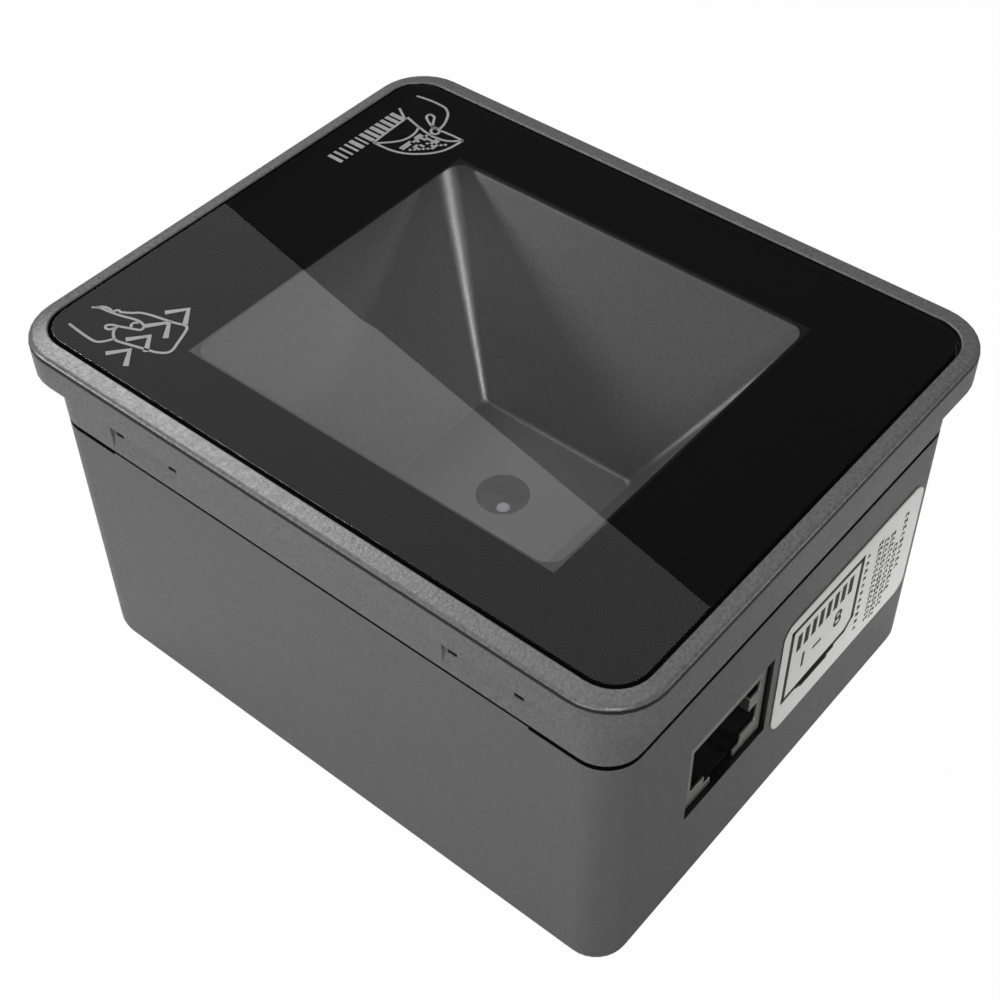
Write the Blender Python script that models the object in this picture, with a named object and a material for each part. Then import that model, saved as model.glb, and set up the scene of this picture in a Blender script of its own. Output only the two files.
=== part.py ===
"""Fixed barcode and card reader for flush mounting in a panel, in metres, +Z up.

The origin is the centre of the base. +X is the long axis, towards the face with the network socket,
and the long front side faces -Y. Every size below is in millimetres and turned to metres when a mesh is
made. Heights are worked out downwards from the top of the window glass.
"""

import math

import bmesh
import bpy

MM = 0.001

# Flange and rim of the bezel
FLANGE_LENGTH = 78.7
FLANGE_WIDTH = 63.5
OVERALL_HEIGHT = 46.2
FLANGE_THICKNESS = 4.2
FLANGE_RADIUS = 6.1
RIM_WIDTH_X = 1.85
RIM_WIDTH_Y = 2.35
RIM_FALL = 0.2
RIM_FILLET = 0.6
RIM_BREAK = 0.15
RECESS_RADIUS = 4.0

# Outer body below the flange, shared by the bezel's skirt and the lower housing
FLANGE_OVERHANG = 2.05
BODY_RADIUS = 4.0
WALL = 2.5
SKIRT_DEPTH = 7.05
GROOVE_NARROW = 0.35
GROOVE_WIDE = 0.65
LAND_LENGTH = 55.2
TONGUE_THICKNESS = 1.1
TONGUE_HEIGHT = 2.0
JOINT_CLEARANCE = 0.3
FLOOR_THICKNESS = 2.5
BASE_FILLET = 1.6

# Clip pads in the long sides of the skirt
PAD_SPACING = 44.8
PAD_WIDTH = 9.8
PAD_RECESS = 0.35
PAD_RISE = 0.5
PAD_SLOPE_HEIGHT = 2.55
PAD_TOP_MARGIN = 0.1
SLOT_SPACING = 7.8
SLOT_WIDTH = 1.1
SLOT_HEIGHT = 2.5
SLOT_DEPTH = 1.2
SLOT_RISE = 2.5

# Window glass, and the printed border round its clear window
GLASS_THICKNESS = 1.1
GLASS_CLEARANCE = 0.25
GLASS_EDGE_BREAK = 0.2
TAPE_THICKNESS = 0.4
TAPE_GAP = 0.15
TAPE_SETBACK = 0.5
RING_WIDTH_X = 3.5
RING_WIDTH_Y = 2.75
DECK_OPENING_RADIUS = 2.5
BORDER_WIDTH_X = 13.95
BORDER_WIDTH_Y = 8.3

# Reflector funnel under the window
FUNNEL_DEPTH = 21.65
FUNNEL_OFFSET_X = -0.3
FUNNEL_OFFSET_Y = -0.35
FUNNEL_FLOOR_LENGTH = 21.2
FUNNEL_FLOOR_WIDTH = 20.6
FUNNEL_WALL = 1.5
MOUTH_REVEAL_X = 2.45
MOUTH_REVEAL_Y = 0.7
MOUTH_GAP = 0.7
MOUTH_FILLET = 0.3
MOUTH_RADIUS = 2.4
FLOOR_RADIUS = 0.9
FLOOR_FILLET = 0.5
LIP_WIDTH = 1.0
LENS_HOLE_DIAMETER = 6.0
LENS_HOLE_DEPTH = 1.0
LENS_LEDGE_DIAMETER = 5.0
LENS_COVER_THICKNESS = 0.6
LENS_COVER_RECESS = 0.1
LENS_OFFSET_X = 0.55
LENS_OFFSET_Y = 0.05

# Screws
HOUSING_SCREW_DIAMETER = 2.4
HOUSING_SCREW_HEAD_DIAMETER = 4.4
HOUSING_SCREW_HEAD_HEIGHT = 1.8
HOUSING_SCREW_GRIP = 8.2
HOUSING_SCREW_BITE = 6.0
SMALL_SCREW_DIAMETER = 1.9
SMALL_SCREW_HEAD_DIAMETER = 3.6
SMALL_SCREW_HEAD_HEIGHT = 1.3
SMALL_SCREW_BITE = 4.0
SCREW_CLEARANCE = 0.3
BOSS_WALL = 1.2
BOSS_INSET = 3.0
STAKE_DIAMETER = 1.6
STAKE_HEAD_DIAMETER = 3.0
STAKE_HEAD_HEIGHT = 0.7
STAKE_INSET = 1.9
STAKE_SPACING_Y = 24.0

# Circuit boards
SEAT = 0.3
BOARD_CLEARANCE = 0.5
MAIN_BOARD_THICKNESS = 1.6
CAMERA_BOARD_THICKNESS = 1.0
CAMERA_BOARD_LENGTH = 22.0
CAMERA_BOARD_WIDTH = 18.0
CAMERA_BOARD_DROP = 4.6
LIGHT_BOARD_DIAMETER = 12.0
LIGHT_BOARD_THICKNESS = 0.6
RING_BOARD_THICKNESS = 0.8
STANDOFF_DIAMETER = 5.2
STANDOFF_INSET_X = 24.0
STANDOFF_INSET_Y = 6.5

# Camera
SENSOR_SIZE = 6.4
SENSOR_HEIGHT = 0.8
HOLDER_SIZE = 9.6
HOLDER_HEIGHT = 2.4
BARREL_DIAMETER = 5.0
BARREL_HEAD_DIAMETER = 2.6
BARREL_DROP = 1.85
FRONT_LENS_DIAMETER = 1.6
FRONT_LENS_THICKNESS = 0.6
FILTER_DIAMETER = 3.4
FILTER_THICKNESS = 0.4
LED_RADIUS = 2.15
LED_LENGTH = 1.4
LED_WIDTH = 0.7
LED_HEIGHT = 0.45
CAMERA_SCREW_REACH_X = 8.4
CAMERA_SCREW_REACH_Y = 6.2

# Network socket in the +X wall
PORT_INSET = 17.35
PORT_WIDTH = 14.3
PORT_HEIGHT = 11.9
PORT_DROP = 9.35
PORT_CLEARANCE = 0.3
JACK_RECESS = 0.5
JACK_DEPTH = 16.3
SHIELD_THICKNESS = 0.35
SOCKET_WIDTH = 11.5
SOCKET_HEIGHT = 6.8
SOCKET_RISE = 2.5
SOCKET_DEPTH = 12.5
LATCH_STEP_WIDTH = 6.5
LATCH_STEP_DEPTH = 1.4
LATCH_SLOT_WIDTH = 4.1
LATCH_FLOOR = 0.7
FINGER_LENGTH = 1.3
FINGER_HEIGHT = 2.0
CONTACT_COUNT = 8
CONTACT_PITCH = 1.02
CONTACT_WIDTH = 0.45
CONTACT_THICKNESS = 0.35
CONTACT_DROP = 1.6

# Label beside the socket
LABEL_GAP = 1.2
LABEL_END_MARGIN = 0.5
LABEL_HEIGHT = 17.0
LABEL_RISE = 0.45
LABEL_RADIUS = 1.8
LABEL_THICKNESS = 0.15
LABEL_STANDOFF = 0.1

# Facets
QUARTER_TURN = math.pi / 2
CORNER_SEGMENTS = 8
ROUND_SEGMENTS = 28
SMALL_ROUND_SEGMENTS = 16
FILLET_SEGMENTS = 3

# Small parts inside
FIT_GAP = 0.15
BARREL_STOP = 0.2
LOOP_INSET = 0.4
LOOP_WIDTH = 0.7
LOOP_THICKNESS = 0.15
CAMERA_SCREW_GAP = 0.3
CAMERA_SCREW_BITE = 2.6
CAMERA_PLUG_LENGTH = 9.0
CAMERA_PLUG_WIDTH = 3.6
CABLE_WIDTH = 6.0
CABLE_THICKNESS = 0.3
CABLE_CLEARANCE = 0.25
CABLE_BOW = 1.6
CABLE_STEPS = 16
SOCKET_STRIP_DEPTH = 2.6
SOCKET_STRIP_HEIGHT = 1.2
SOCKET_STRIP_INSET = 2.2
FINGER_STEP = 1.3
TRANSFORMER_SIZE = (6.4, 10.0, 2.3)
TRANSFORMER_GAP = 1.2
INDUCTOR_SIZE = (6.0, 6.0, 3.0)
INDUCTOR_INSET_X = 13.0
INDUCTOR_GAP = 2.85
CAPACITOR_DIAMETER = 6.3
CAPACITOR_HEIGHT = 5.4
CAPACITOR_INSET_X = 13.0
CAPACITOR_INSET_Y = 9.7
BUZZER_DIAMETER = 9.6
BUZZER_HEIGHT = 4.6
BUZZER_HOLE = 2.0
BUZZER_INSET_X = 12.5
BUZZER_INSET_Y = 14.7

# Half sizes worked out from the driving sizes
flange_half_x = FLANGE_LENGTH / 2
flange_half_y = FLANGE_WIDTH / 2
body_half_x = flange_half_x - FLANGE_OVERHANG
body_half_y = flange_half_y - FLANGE_OVERHANG
inner_half_x = body_half_x - WALL
inner_half_y = body_half_y - WALL
inner_radius = BODY_RADIUS - WALL
recess_half_x = flange_half_x - RIM_WIDTH_X
recess_half_y = flange_half_y - RIM_WIDTH_Y
glass_half_x = recess_half_x - GLASS_CLEARANCE
glass_half_y = recess_half_y - GLASS_CLEARANCE
window_half_x = glass_half_x - BORDER_WIDTH_X
window_half_y = glass_half_y - BORDER_WIDTH_Y

# Heights, from the top down
top_z = OVERALL_HEIGHT
flange_under_z = top_z - FLANGE_THICKNESS
glass_under_z = top_z - GLASS_THICKNESS
deck_top_z = glass_under_z - TAPE_THICKNESS - 2 * TAPE_GAP
skirt_bottom_z = flange_under_z - SKIRT_DEPTH
housing_top_z = skirt_bottom_z - GROOVE_WIDE
land_top_z = skirt_bottom_z - GROOVE_NARROW
tongue_top_z = land_top_z + TONGUE_HEIGHT
rebate_top_z = tongue_top_z + JOINT_CLEARANCE
bezel_boss_z = skirt_bottom_z
housing_boss_z = bezel_boss_z - SEAT
screw_seat_z = housing_boss_z - HOUSING_SCREW_GRIP

# Funnel and lens axis
funnel_x = FUNNEL_OFFSET_X
funnel_y = FUNNEL_OFFSET_Y
mouth_half_x = window_half_x + MOUTH_REVEAL_X
mouth_half_y = window_half_y + MOUTH_REVEAL_Y
mouth_z = glass_under_z - MOUTH_GAP
funnel_floor_z = mouth_z - FUNNEL_DEPTH
floor_half_x = FUNNEL_FLOOR_LENGTH / 2
floor_half_y = FUNNEL_FLOOR_WIDTH / 2
slope_x = (mouth_half_x - floor_half_x) / FUNNEL_DEPTH
slope_y = (mouth_half_y - floor_half_y) / FUNNEL_DEPTH
funnel_under_z = funnel_floor_z - FUNNEL_WALL
wall_reach_x = FUNNEL_WALL * math.hypot(1, slope_x)
wall_reach_y = FUNNEL_WALL * math.hypot(1, slope_y)
funnel_flange_top_z = flange_under_z - SEAT
funnel_flange_under_z = funnel_flange_top_z - FUNNEL_WALL
lip_half_x = mouth_half_x + LIP_WIDTH
lip_half_y = mouth_half_y + LIP_WIDTH
lens_ledge_z = funnel_floor_z - LENS_HOLE_DEPTH
lens_x = funnel_x + LENS_OFFSET_X
lens_y = funnel_y + LENS_OFFSET_Y

# Screw and boss places
bezel_boss_radius = HOUSING_SCREW_DIAMETER / 2 + SCREW_CLEARANCE + BOSS_WALL
counterbore_radius = HOUSING_SCREW_HEAD_DIAMETER / 2 + SCREW_CLEARANCE
housing_boss_radius = counterbore_radius + BOSS_WALL - 0.3
housing_bore_radius = HOUSING_SCREW_DIAMETER / 2 + SCREW_CLEARANCE
small_bore_radius = SMALL_SCREW_DIAMETER / 2 + SCREW_CLEARANCE
boss_x = inner_half_x - BOSS_INSET
boss_y = inner_half_y - BOSS_INSET
corner_places = [(sx * boss_x, sy * boss_y) for sx in (-1, 1) for sy in (-1, 1)]
stake_x = inner_half_x - STAKE_INSET
stake_places = [(sx * stake_x, sy * STAKE_SPACING_Y / 2) for sx in (-1, 1) for sy in (-1, 1)]

# Socket and boards
port_y = -inner_half_y + PORT_INSET
port_top_z = skirt_bottom_z - PORT_DROP
port_under_z = port_top_z - PORT_HEIGHT
jack_half_y = PORT_WIDTH / 2 - PORT_CLEARANCE
jack_top_z = port_top_z - PORT_CLEARANCE
jack_under_z = port_under_z + PORT_CLEARANCE
jack_face_x = body_half_x - JACK_RECESS
jack_back_x = jack_face_x - JACK_DEPTH
socket_under_z = jack_under_z + SOCKET_RISE
socket_top_z = socket_under_z + SOCKET_HEIGHT
main_top_z = jack_under_z - SEAT
main_under_z = main_top_z - MAIN_BOARD_THICKNESS
main_half_x = inner_half_x - BOARD_CLEARANCE
main_half_y = inner_half_y - BOARD_CLEARANCE
standoff_x = main_half_x - STANDOFF_INSET_X
standoff_y = main_half_y - STANDOFF_INSET_Y
standoff_places = [(sx * standoff_x, sy * standoff_y) for sx in (-1, 1) for sy in (-1, 1)]
camera_top_z = funnel_under_z - CAMERA_BOARD_DROP
camera_under_z = camera_top_z - CAMERA_BOARD_THICKNESS
camera_screw_places = [
    (lens_x + side * CAMERA_SCREW_REACH_X, lens_y - side * CAMERA_SCREW_REACH_Y) for side in (-1, 1)
]
ring_under_z = funnel_flange_top_z + SEAT
ring_top_z = ring_under_z + RING_BOARD_THICKNESS
ring_half_x = lip_half_x + SEAT + RING_WIDTH_X
ring_half_y = lip_half_y + SEAT + RING_WIDTH_Y
socket_strip_x = -ring_half_x + SOCKET_STRIP_INSET
deck_half_x = ring_half_x + SEAT
deck_half_y = ring_half_y + SEAT


def clear_scene():
    for found in list(bpy.data.objects):
        bpy.data.objects.remove(found, do_unlink=True)


def plastic(name, colour, roughness, metallic=0.0):
    """A Principled material in one colour."""
    made = bpy.data.materials.new(name)
    made.use_nodes = True
    shader = made.node_tree.nodes["Principled BSDF"]
    shader.inputs["Base Color"].default_value = (*colour, 1.0)
    shader.inputs["Roughness"].default_value = roughness
    shader.inputs["Metallic"].default_value = metallic
    made.diffuse_color = (*colour, 1.0)
    return made


def rounded_loop(half_x, half_y, radius, z, centre=(0.0, 0.0), segments=CORNER_SEGMENTS):
    """Points of a rectangle with round corners, counter-clockwise seen from above."""
    radius = max(0.01, min(radius, half_x - 0.01, half_y - 0.01))
    corners = ((1, 1, 0), (-1, 1, 90), (-1, -1, 180), (1, -1, 270))
    points = []
    for sign_x, sign_y, start in corners:
        corner_x = centre[0] + sign_x * (half_x - radius)
        corner_y = centre[1] + sign_y * (half_y - radius)
        for step in range(segments + 1):
            angle = math.radians(start) + QUARTER_TURN * step / segments
            points.append((corner_x + radius * math.cos(angle), corner_y + radius * math.sin(angle), z))
    return points


def circle_loop(radius, z, centre=(0.0, 0.0), segments=ROUND_SEGMENTS):
    """Points of a circle, counter-clockwise seen from above."""
    turn = 2 * math.pi / segments
    return [
        (centre[0] + radius * math.cos(turn * step), centre[1] + radius * math.sin(turn * step), z)
        for step in range(segments)
    ]


def skin_loops(loops, ring):
    """A body that runs through loops of equal length: capped at both ends, or closed into a ring."""
    body = bmesh.new()
    rows = [[body.verts.new((x * MM, y * MM, z * MM)) for x, y, z in loop] for loop in loops]
    pairs = list(zip(rows, rows[1:] + rows[:1])) if ring else list(zip(rows, rows[1:]))
    count = len(rows[0])
    for lower, upper in pairs:
        for index in range(count):
            after = (index + 1) % count
            body.faces.new((lower[index], lower[after], upper[after], upper[index]))
    if not ring:
        body.faces.new(list(reversed(rows[0])))
        body.faces.new(rows[-1])
    bmesh.ops.recalc_face_normals(body, faces=body.faces)
    return body


def block(low, high):
    """A box between two corners."""
    body = bmesh.new()
    bmesh.ops.create_cube(body, size=1.0)
    for vert in body.verts:
        vert.co = [(low[axis] if vert.co[axis] < 0 else high[axis]) * MM for axis in range(3)]
    return body


def centred_block(centre, size):
    """A box from its centre and its three sizes."""
    low = [centre[axis] - size[axis] / 2 for axis in range(3)]
    high = [centre[axis] + size[axis] / 2 for axis in range(3)]
    return block(low, high)


def rounded_plate(half_x, half_y, radius, low_z, high_z, centre=(0.0, 0.0), segments=CORNER_SEGMENTS):
    """A flat plate with round corners."""
    loops = [rounded_loop(half_x, half_y, radius, z, centre, segments) for z in (low_z, high_z)]
    return skin_loops(loops, ring=False)


def cylinder(radius, low_z, high_z, centre=(0.0, 0.0), segments=ROUND_SEGMENTS):
    """An upright cylinder."""
    return skin_loops([circle_loop(radius, z, centre, segments) for z in (low_z, high_z)], ring=False)


def turned(profile, centre=(0.0, 0.0), ring=False, segments=ROUND_SEGMENTS):
    """A turned body from its profile of radius and height, listed upwards along the outside."""
    return skin_loops([circle_loop(radius, z, centre, segments) for radius, z in profile], ring)


def folded_strip(path, thickness, low_y, high_y):
    """A flat strip bent along a path of x and z, as wide as the span in y."""
    count = len(path)
    left = []
    right = []
    for index, (x, z) in enumerate(path):
        before = path[max(index - 1, 0)]
        after = path[min(index + 1, count - 1)]
        run_x = after[0] - before[0]
        run_z = after[1] - before[1]
        length = math.hypot(run_x, run_z)
        offset_x = -run_z / length * thickness / 2
        offset_z = run_x / length * thickness / 2
        left.append((x + offset_x, z + offset_z))
        right.append((x - offset_x, z - offset_z))
    outline = left + right[::-1]
    return skin_loops([[(x, y, z) for x, z in outline] for y in (low_y, high_y)], ring=False)


def bevelled(body, width):
    """The body with all its edges chamfered."""
    bmesh.ops.bevel(body, geom=list(body.edges), offset=width * MM, segments=1, affect="EDGES")
    return body


def add_part(name, body, material, smooth=True):
    """An object of its own from a body, hung on the reader's root."""
    mesh = bpy.data.meshes.new(name)
    body.to_mesh(mesh)
    body.free()
    part = bpy.data.objects.new(name, mesh)
    part.parent = root
    bpy.context.scene.collection.objects.link(part)
    mesh.materials.append(material)
    if smooth:
        mesh.shade_smooth()
        mesh.set_sharp_from_angle(angle=math.radians(35))
    return part


def combine(part, body, operation):
    """Join a body to a part, or cut it out of the part."""
    mesh = bpy.data.meshes.new("tool")
    body.to_mesh(mesh)
    body.free()
    tool = bpy.data.objects.new("tool", mesh)
    bpy.context.scene.collection.objects.link(tool)
    step = part.modifiers.new(operation.lower(), "BOOLEAN")
    step.operation = operation
    step.solver = "EXACT"
    step.object = tool
    result = bpy.data.meshes.new_from_object(part.evaluated_get(bpy.context.evaluated_depsgraph_get()))
    part.modifiers.clear()
    old = part.data
    part.data = result
    bpy.data.meshes.remove(old)
    bpy.data.objects.remove(tool, do_unlink=True)
    bpy.data.meshes.remove(mesh)


def cut(part, body):
    combine(part, body, "DIFFERENCE")


def join(part, body):
    combine(part, body, "UNION")


def make_bezel():
    """Rim, flange, glass deck and skirt in one moulding, with screw bosses and staking pins."""
    fillet_z = top_z - RIM_FALL - RIM_FILLET
    loops = [
        rounded_loop(flange_half_x, flange_half_y, FLANGE_RADIUS, flange_under_z),
        rounded_loop(flange_half_x, flange_half_y, FLANGE_RADIUS, fillet_z),
    ]
    for step in range(1, FILLET_SEGMENTS + 1):
        angle = math.radians(90 * step / FILLET_SEGMENTS)
        inset = RIM_FILLET * (1 - math.cos(angle))
        z = fillet_z + RIM_FILLET * math.sin(angle)
        loops.append(rounded_loop(flange_half_x - inset, flange_half_y - inset, FLANGE_RADIUS - inset, z))
    rebate_half_x = body_half_x - WALL + TONGUE_THICKNESS + JOINT_CLEARANCE
    rebate_half_y = body_half_y - WALL + TONGUE_THICKNESS + JOINT_CLEARANCE
    rebate_radius = inner_radius + TONGUE_THICKNESS + JOINT_CLEARANCE
    lip_x = recess_half_x + RIM_BREAK
    lip_y = recess_half_y + RIM_BREAK
    loops += [
        rounded_loop(lip_x, lip_y, RECESS_RADIUS + RIM_BREAK, top_z),
        rounded_loop(recess_half_x, recess_half_y, RECESS_RADIUS, top_z - RIM_BREAK),
        rounded_loop(recess_half_x, recess_half_y, RECESS_RADIUS, deck_top_z),
        rounded_loop(deck_half_x, deck_half_y, DECK_OPENING_RADIUS, deck_top_z),
        rounded_loop(deck_half_x, deck_half_y, DECK_OPENING_RADIUS, flange_under_z),
        rounded_loop(inner_half_x, inner_half_y, inner_radius, flange_under_z),
        rounded_loop(inner_half_x, inner_half_y, inner_radius, rebate_top_z),
        rounded_loop(rebate_half_x, rebate_half_y, rebate_radius, rebate_top_z),
        rounded_loop(rebate_half_x, rebate_half_y, rebate_radius, skirt_bottom_z),
        rounded_loop(body_half_x, body_half_y, BODY_RADIUS, skirt_bottom_z),
        rounded_loop(body_half_x, body_half_y, BODY_RADIUS, flange_under_z),
    ]
    bezel = add_part("bezel", skin_loops(loops, ring=True), grey_abs)
    for place in corner_places:
        join(bezel, cylinder(bezel_boss_radius, bezel_boss_z, deck_top_z - 0.3, place))
        cut(bezel, cylinder(housing_bore_radius, bezel_boss_z - 1, flange_under_z - 0.5, place))
    pin_end_z = funnel_flange_under_z - SEAT
    for place in stake_places:
        pin_profile = [
            (STAKE_HEAD_DIAMETER / 2 - 0.4, pin_end_z - STAKE_HEAD_HEIGHT),
            (STAKE_HEAD_DIAMETER / 2, pin_end_z - STAKE_HEAD_HEIGHT / 2),
            (STAKE_HEAD_DIAMETER / 2, pin_end_z),
            (STAKE_DIAMETER / 2, pin_end_z),
            (STAKE_DIAMETER / 2, flange_under_z + 0.5),
        ]
        join(bezel, turned(pin_profile, place, segments=SMALL_ROUND_SEGMENTS))
    for side in (-1, 1):
        for pad_side in (-1, 1):
            cut_clip_pad(bezel, pad_side * PAD_SPACING / 2, side)
    return bezel


def cut_clip_pad(bezel, pad_x, side):
    """A sloping pad on a long side of the skirt, with a slot near each end of its top."""
    outer_y = side * (flange_half_y - 0.5)
    face_y = side * (body_half_y - PAD_RECESS)
    slope_z = skirt_bottom_z + PAD_RISE
    clear_y = 0.1
    clear_z = slope_z - clear_y * PAD_SLOPE_HEIGHT / PAD_RECESS
    top_z = flange_under_z - PAD_TOP_MARGIN
    section = [
        (outer_y, clear_z),
        (side * (body_half_y + clear_y), clear_z),
        (face_y, slope_z + PAD_SLOPE_HEIGHT),
        (face_y, top_z),
        (outer_y, top_z),
    ]
    ends = (pad_x - PAD_WIDTH / 2, pad_x + PAD_WIDTH / 2)
    cut(bezel, skin_loops([[(x, y, z) for y, z in section] for x in ends], ring=False))
    span = sorted((face_y - side * SLOT_DEPTH, outer_y))
    slot_z = skirt_bottom_z + SLOT_RISE
    for slot_side in (-1, 1):
        slot_x = pad_x + slot_side * SLOT_SPACING / 2
        low = (slot_x - SLOT_WIDTH / 2, span[0], slot_z)
        high = (slot_x + SLOT_WIDTH / 2, span[1], slot_z + SLOT_HEIGHT)
        cut(bezel, block(low, high))


def make_lower_housing():
    """Deep tub with a tongue that centres the bezel, screw columns and board standoffs."""
    loops = []
    for step in range(FILLET_SEGMENTS + 1):
        angle = math.radians(90 * step / FILLET_SEGMENTS)
        inset = BASE_FILLET * (1 - math.sin(angle))
        z = BASE_FILLET * (1 - math.cos(angle))
        loops.append(rounded_loop(body_half_x - inset, body_half_y - inset, BODY_RADIUS - inset, z))
    tongue_x = inner_half_x + TONGUE_THICKNESS
    tongue_y = inner_half_y + TONGUE_THICKNESS
    tongue_radius = inner_radius + TONGUE_THICKNESS
    loops += [
        rounded_loop(body_half_x, body_half_y, BODY_RADIUS, housing_top_z),
        rounded_loop(tongue_x, tongue_y, tongue_radius, housing_top_z),
        rounded_loop(tongue_x, tongue_y, tongue_radius, tongue_top_z),
        rounded_loop(inner_half_x, inner_half_y, inner_radius, tongue_top_z),
        rounded_loop(inner_half_x, inner_half_y, inner_radius, FLOOR_THICKNESS),
    ]
    housing = add_part("lower_housing", skin_loops(loops, ring=False), grey_abs)
    for side in (-1, 1):
        span = sorted((side * (tongue_y - 0.3), side * body_half_y))
        low = (-LAND_LENGTH / 2, span[0], housing_top_z - 0.8)
        land = block(low, (LAND_LENGTH / 2, span[1], land_top_z))
        join(housing, land)
    for place in corner_places:
        join(housing, cylinder(housing_boss_radius, FLOOR_THICKNESS / 2, housing_boss_z, place))
        cut(housing, cylinder(counterbore_radius, -1, screw_seat_z, place))
        cut(housing, cylinder(housing_bore_radius, screw_seat_z - 1, housing_boss_z + 1, place))
    for place in standoff_places:
        join(housing, cylinder(STANDOFF_DIAMETER / 2, FLOOR_THICKNESS / 2, main_under_z - SEAT, place))
        bore_z = main_under_z - SEAT - SMALL_SCREW_BITE - SEAT
        cut(housing, cylinder(small_bore_radius, bore_z, main_under_z, place, SMALL_ROUND_SEGMENTS))
    low = (inner_half_x - 1, port_y - PORT_WIDTH / 2, port_under_z)
    high = (body_half_x + 1, port_y + PORT_WIDTH / 2, port_top_z)
    cut(housing, block(low, high))
    return housing


def make_window():
    """Glass plate flush with the rim, and the adhesive frame under its edge."""
    inner_x = glass_half_x - GLASS_EDGE_BREAK
    inner_y = glass_half_y - GLASS_EDGE_BREAK
    radius = RECESS_RADIUS - GLASS_CLEARANCE
    loops = [
        rounded_loop(glass_half_x, glass_half_y, radius, glass_under_z),
        rounded_loop(glass_half_x, glass_half_y, radius, top_z - GLASS_EDGE_BREAK),
        rounded_loop(inner_x, inner_y, radius - GLASS_EDGE_BREAK, top_z),
    ]
    add_part("window_glass", skin_loops(loops, ring=False), smoked_glass)
    outer_x = glass_half_x - TAPE_SETBACK
    outer_y = glass_half_y - TAPE_SETBACK
    tape_low = deck_top_z + TAPE_GAP
    tape_high = tape_low + TAPE_THICKNESS
    frame = [
        rounded_loop(outer_x, outer_y, radius - TAPE_SETBACK, tape_low),
        rounded_loop(outer_x, outer_y, radius - TAPE_SETBACK, tape_high),
        rounded_loop(deck_half_x + TAPE_SETBACK, deck_half_y + TAPE_SETBACK, DECK_OPENING_RADIUS, tape_high),
        rounded_loop(deck_half_x + TAPE_SETBACK, deck_half_y + TAPE_SETBACK, DECK_OPENING_RADIUS, tape_low),
    ]
    add_part("glass_tape", skin_loops(frame, ring=True), black_foam)


def cut_corners(part, reach, low_z, high_z):
    """Cut the corners of a plate away so that it clears the screw bosses."""
    for place_x, place_y in corner_places:
        side_x = math.copysign(1, place_x)
        side_y = math.copysign(1, place_y)
        span_x = sorted((place_x - side_x * reach, place_x + side_x * 2 * reach))
        span_y = sorted((place_y - side_y * reach, place_y + side_y * 2 * reach))
        cut(part, block((span_x[0], span_y[0], low_z), (span_x[1], span_y[1], high_z)))


def make_funnel():
    """Four-sided reflector that opens from the lens hole to the window, with its seating flange."""
    centre = (funnel_x, funnel_y)

    def outer(z):
        rise = z - funnel_floor_z
        half_x = floor_half_x + slope_x * rise + wall_reach_x
        half_y = floor_half_y + slope_y * rise + wall_reach_y
        return rounded_loop(half_x, half_y, MOUTH_RADIUS, z, centre)

    loops = [
        outer(funnel_under_z),
        outer(funnel_flange_under_z),
        rounded_loop(inner_half_x - SEAT, inner_half_y - SEAT, inner_radius, funnel_flange_under_z),
        rounded_loop(inner_half_x - SEAT, inner_half_y - SEAT, inner_radius, funnel_flange_top_z),
        rounded_loop(lip_half_x, lip_half_y, MOUTH_RADIUS, funnel_flange_top_z, centre),
        rounded_loop(lip_half_x, lip_half_y, MOUTH_RADIUS, mouth_z, centre),
    ]
    funnel = add_part("reflector_funnel", skin_loops(loops, ring=False), grey_reflector)
    drop = funnel_floor_z + FLOOR_FILLET
    spread_x = floor_half_x + slope_x * FLOOR_FILLET
    spread_y = floor_half_y + slope_y * FLOOR_FILLET
    edge_z = mouth_z - MOUTH_FILLET
    edge_x = mouth_half_x - slope_x * MOUTH_FILLET
    edge_y = mouth_half_y - slope_y * MOUTH_FILLET
    lip_x = mouth_half_x + MOUTH_FILLET
    lip_y = mouth_half_y + MOUTH_FILLET
    cavity = [
        rounded_loop(floor_half_x - FLOOR_FILLET / 2, floor_half_y - FLOOR_FILLET / 2, FLOOR_RADIUS,
                     funnel_floor_z, centre),
        rounded_loop(spread_x, spread_y, FLOOR_RADIUS, drop, centre),
        rounded_loop(edge_x, edge_y, MOUTH_RADIUS, edge_z, centre),
        rounded_loop(lip_x, lip_y, MOUTH_RADIUS, mouth_z, centre),
        rounded_loop(lip_x, lip_y, MOUTH_RADIUS, mouth_z + 1, centre),
    ]
    cut(funnel, skin_loops(cavity, ring=False))
    hole = [
        (LENS_LEDGE_DIAMETER / 2, funnel_under_z - 0.5),
        (LENS_LEDGE_DIAMETER / 2, lens_ledge_z),
        (LENS_HOLE_DIAMETER / 2, lens_ledge_z),
        (LENS_HOLE_DIAMETER / 2, funnel_floor_z + 0.5),
    ]
    cut(funnel, turned(hole, (lens_x, lens_y)))
    for place in camera_screw_places:
        join(funnel, cylinder(small_bore_radius + 0.9, camera_top_z + SEAT, funnel_under_z + 0.4, place,
                              SMALL_ROUND_SEGMENTS))
        cut(funnel, cylinder(small_bore_radius, camera_top_z, funnel_under_z - 0.4, place,
                             SMALL_ROUND_SEGMENTS))
    cut_corners(funnel, bezel_boss_radius + SEAT, funnel_flange_under_z - 1, funnel_flange_top_z + 0.1)
    for place in stake_places:
        radius = STAKE_DIAMETER / 2 + SEAT
        cut(funnel, cylinder(radius, funnel_flange_under_z - 1, funnel_flange_top_z + 1, place,
                             SMALL_ROUND_SEGMENTS))
    low = (socket_strip_x - 2.4, -CABLE_WIDTH / 2 - 1.2, funnel_flange_under_z - 1)
    high = (socket_strip_x + 2.4, CABLE_WIDTH / 2 + 1.2, funnel_flange_top_z + 1)
    cut(funnel, block(low, high))
    return funnel


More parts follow.
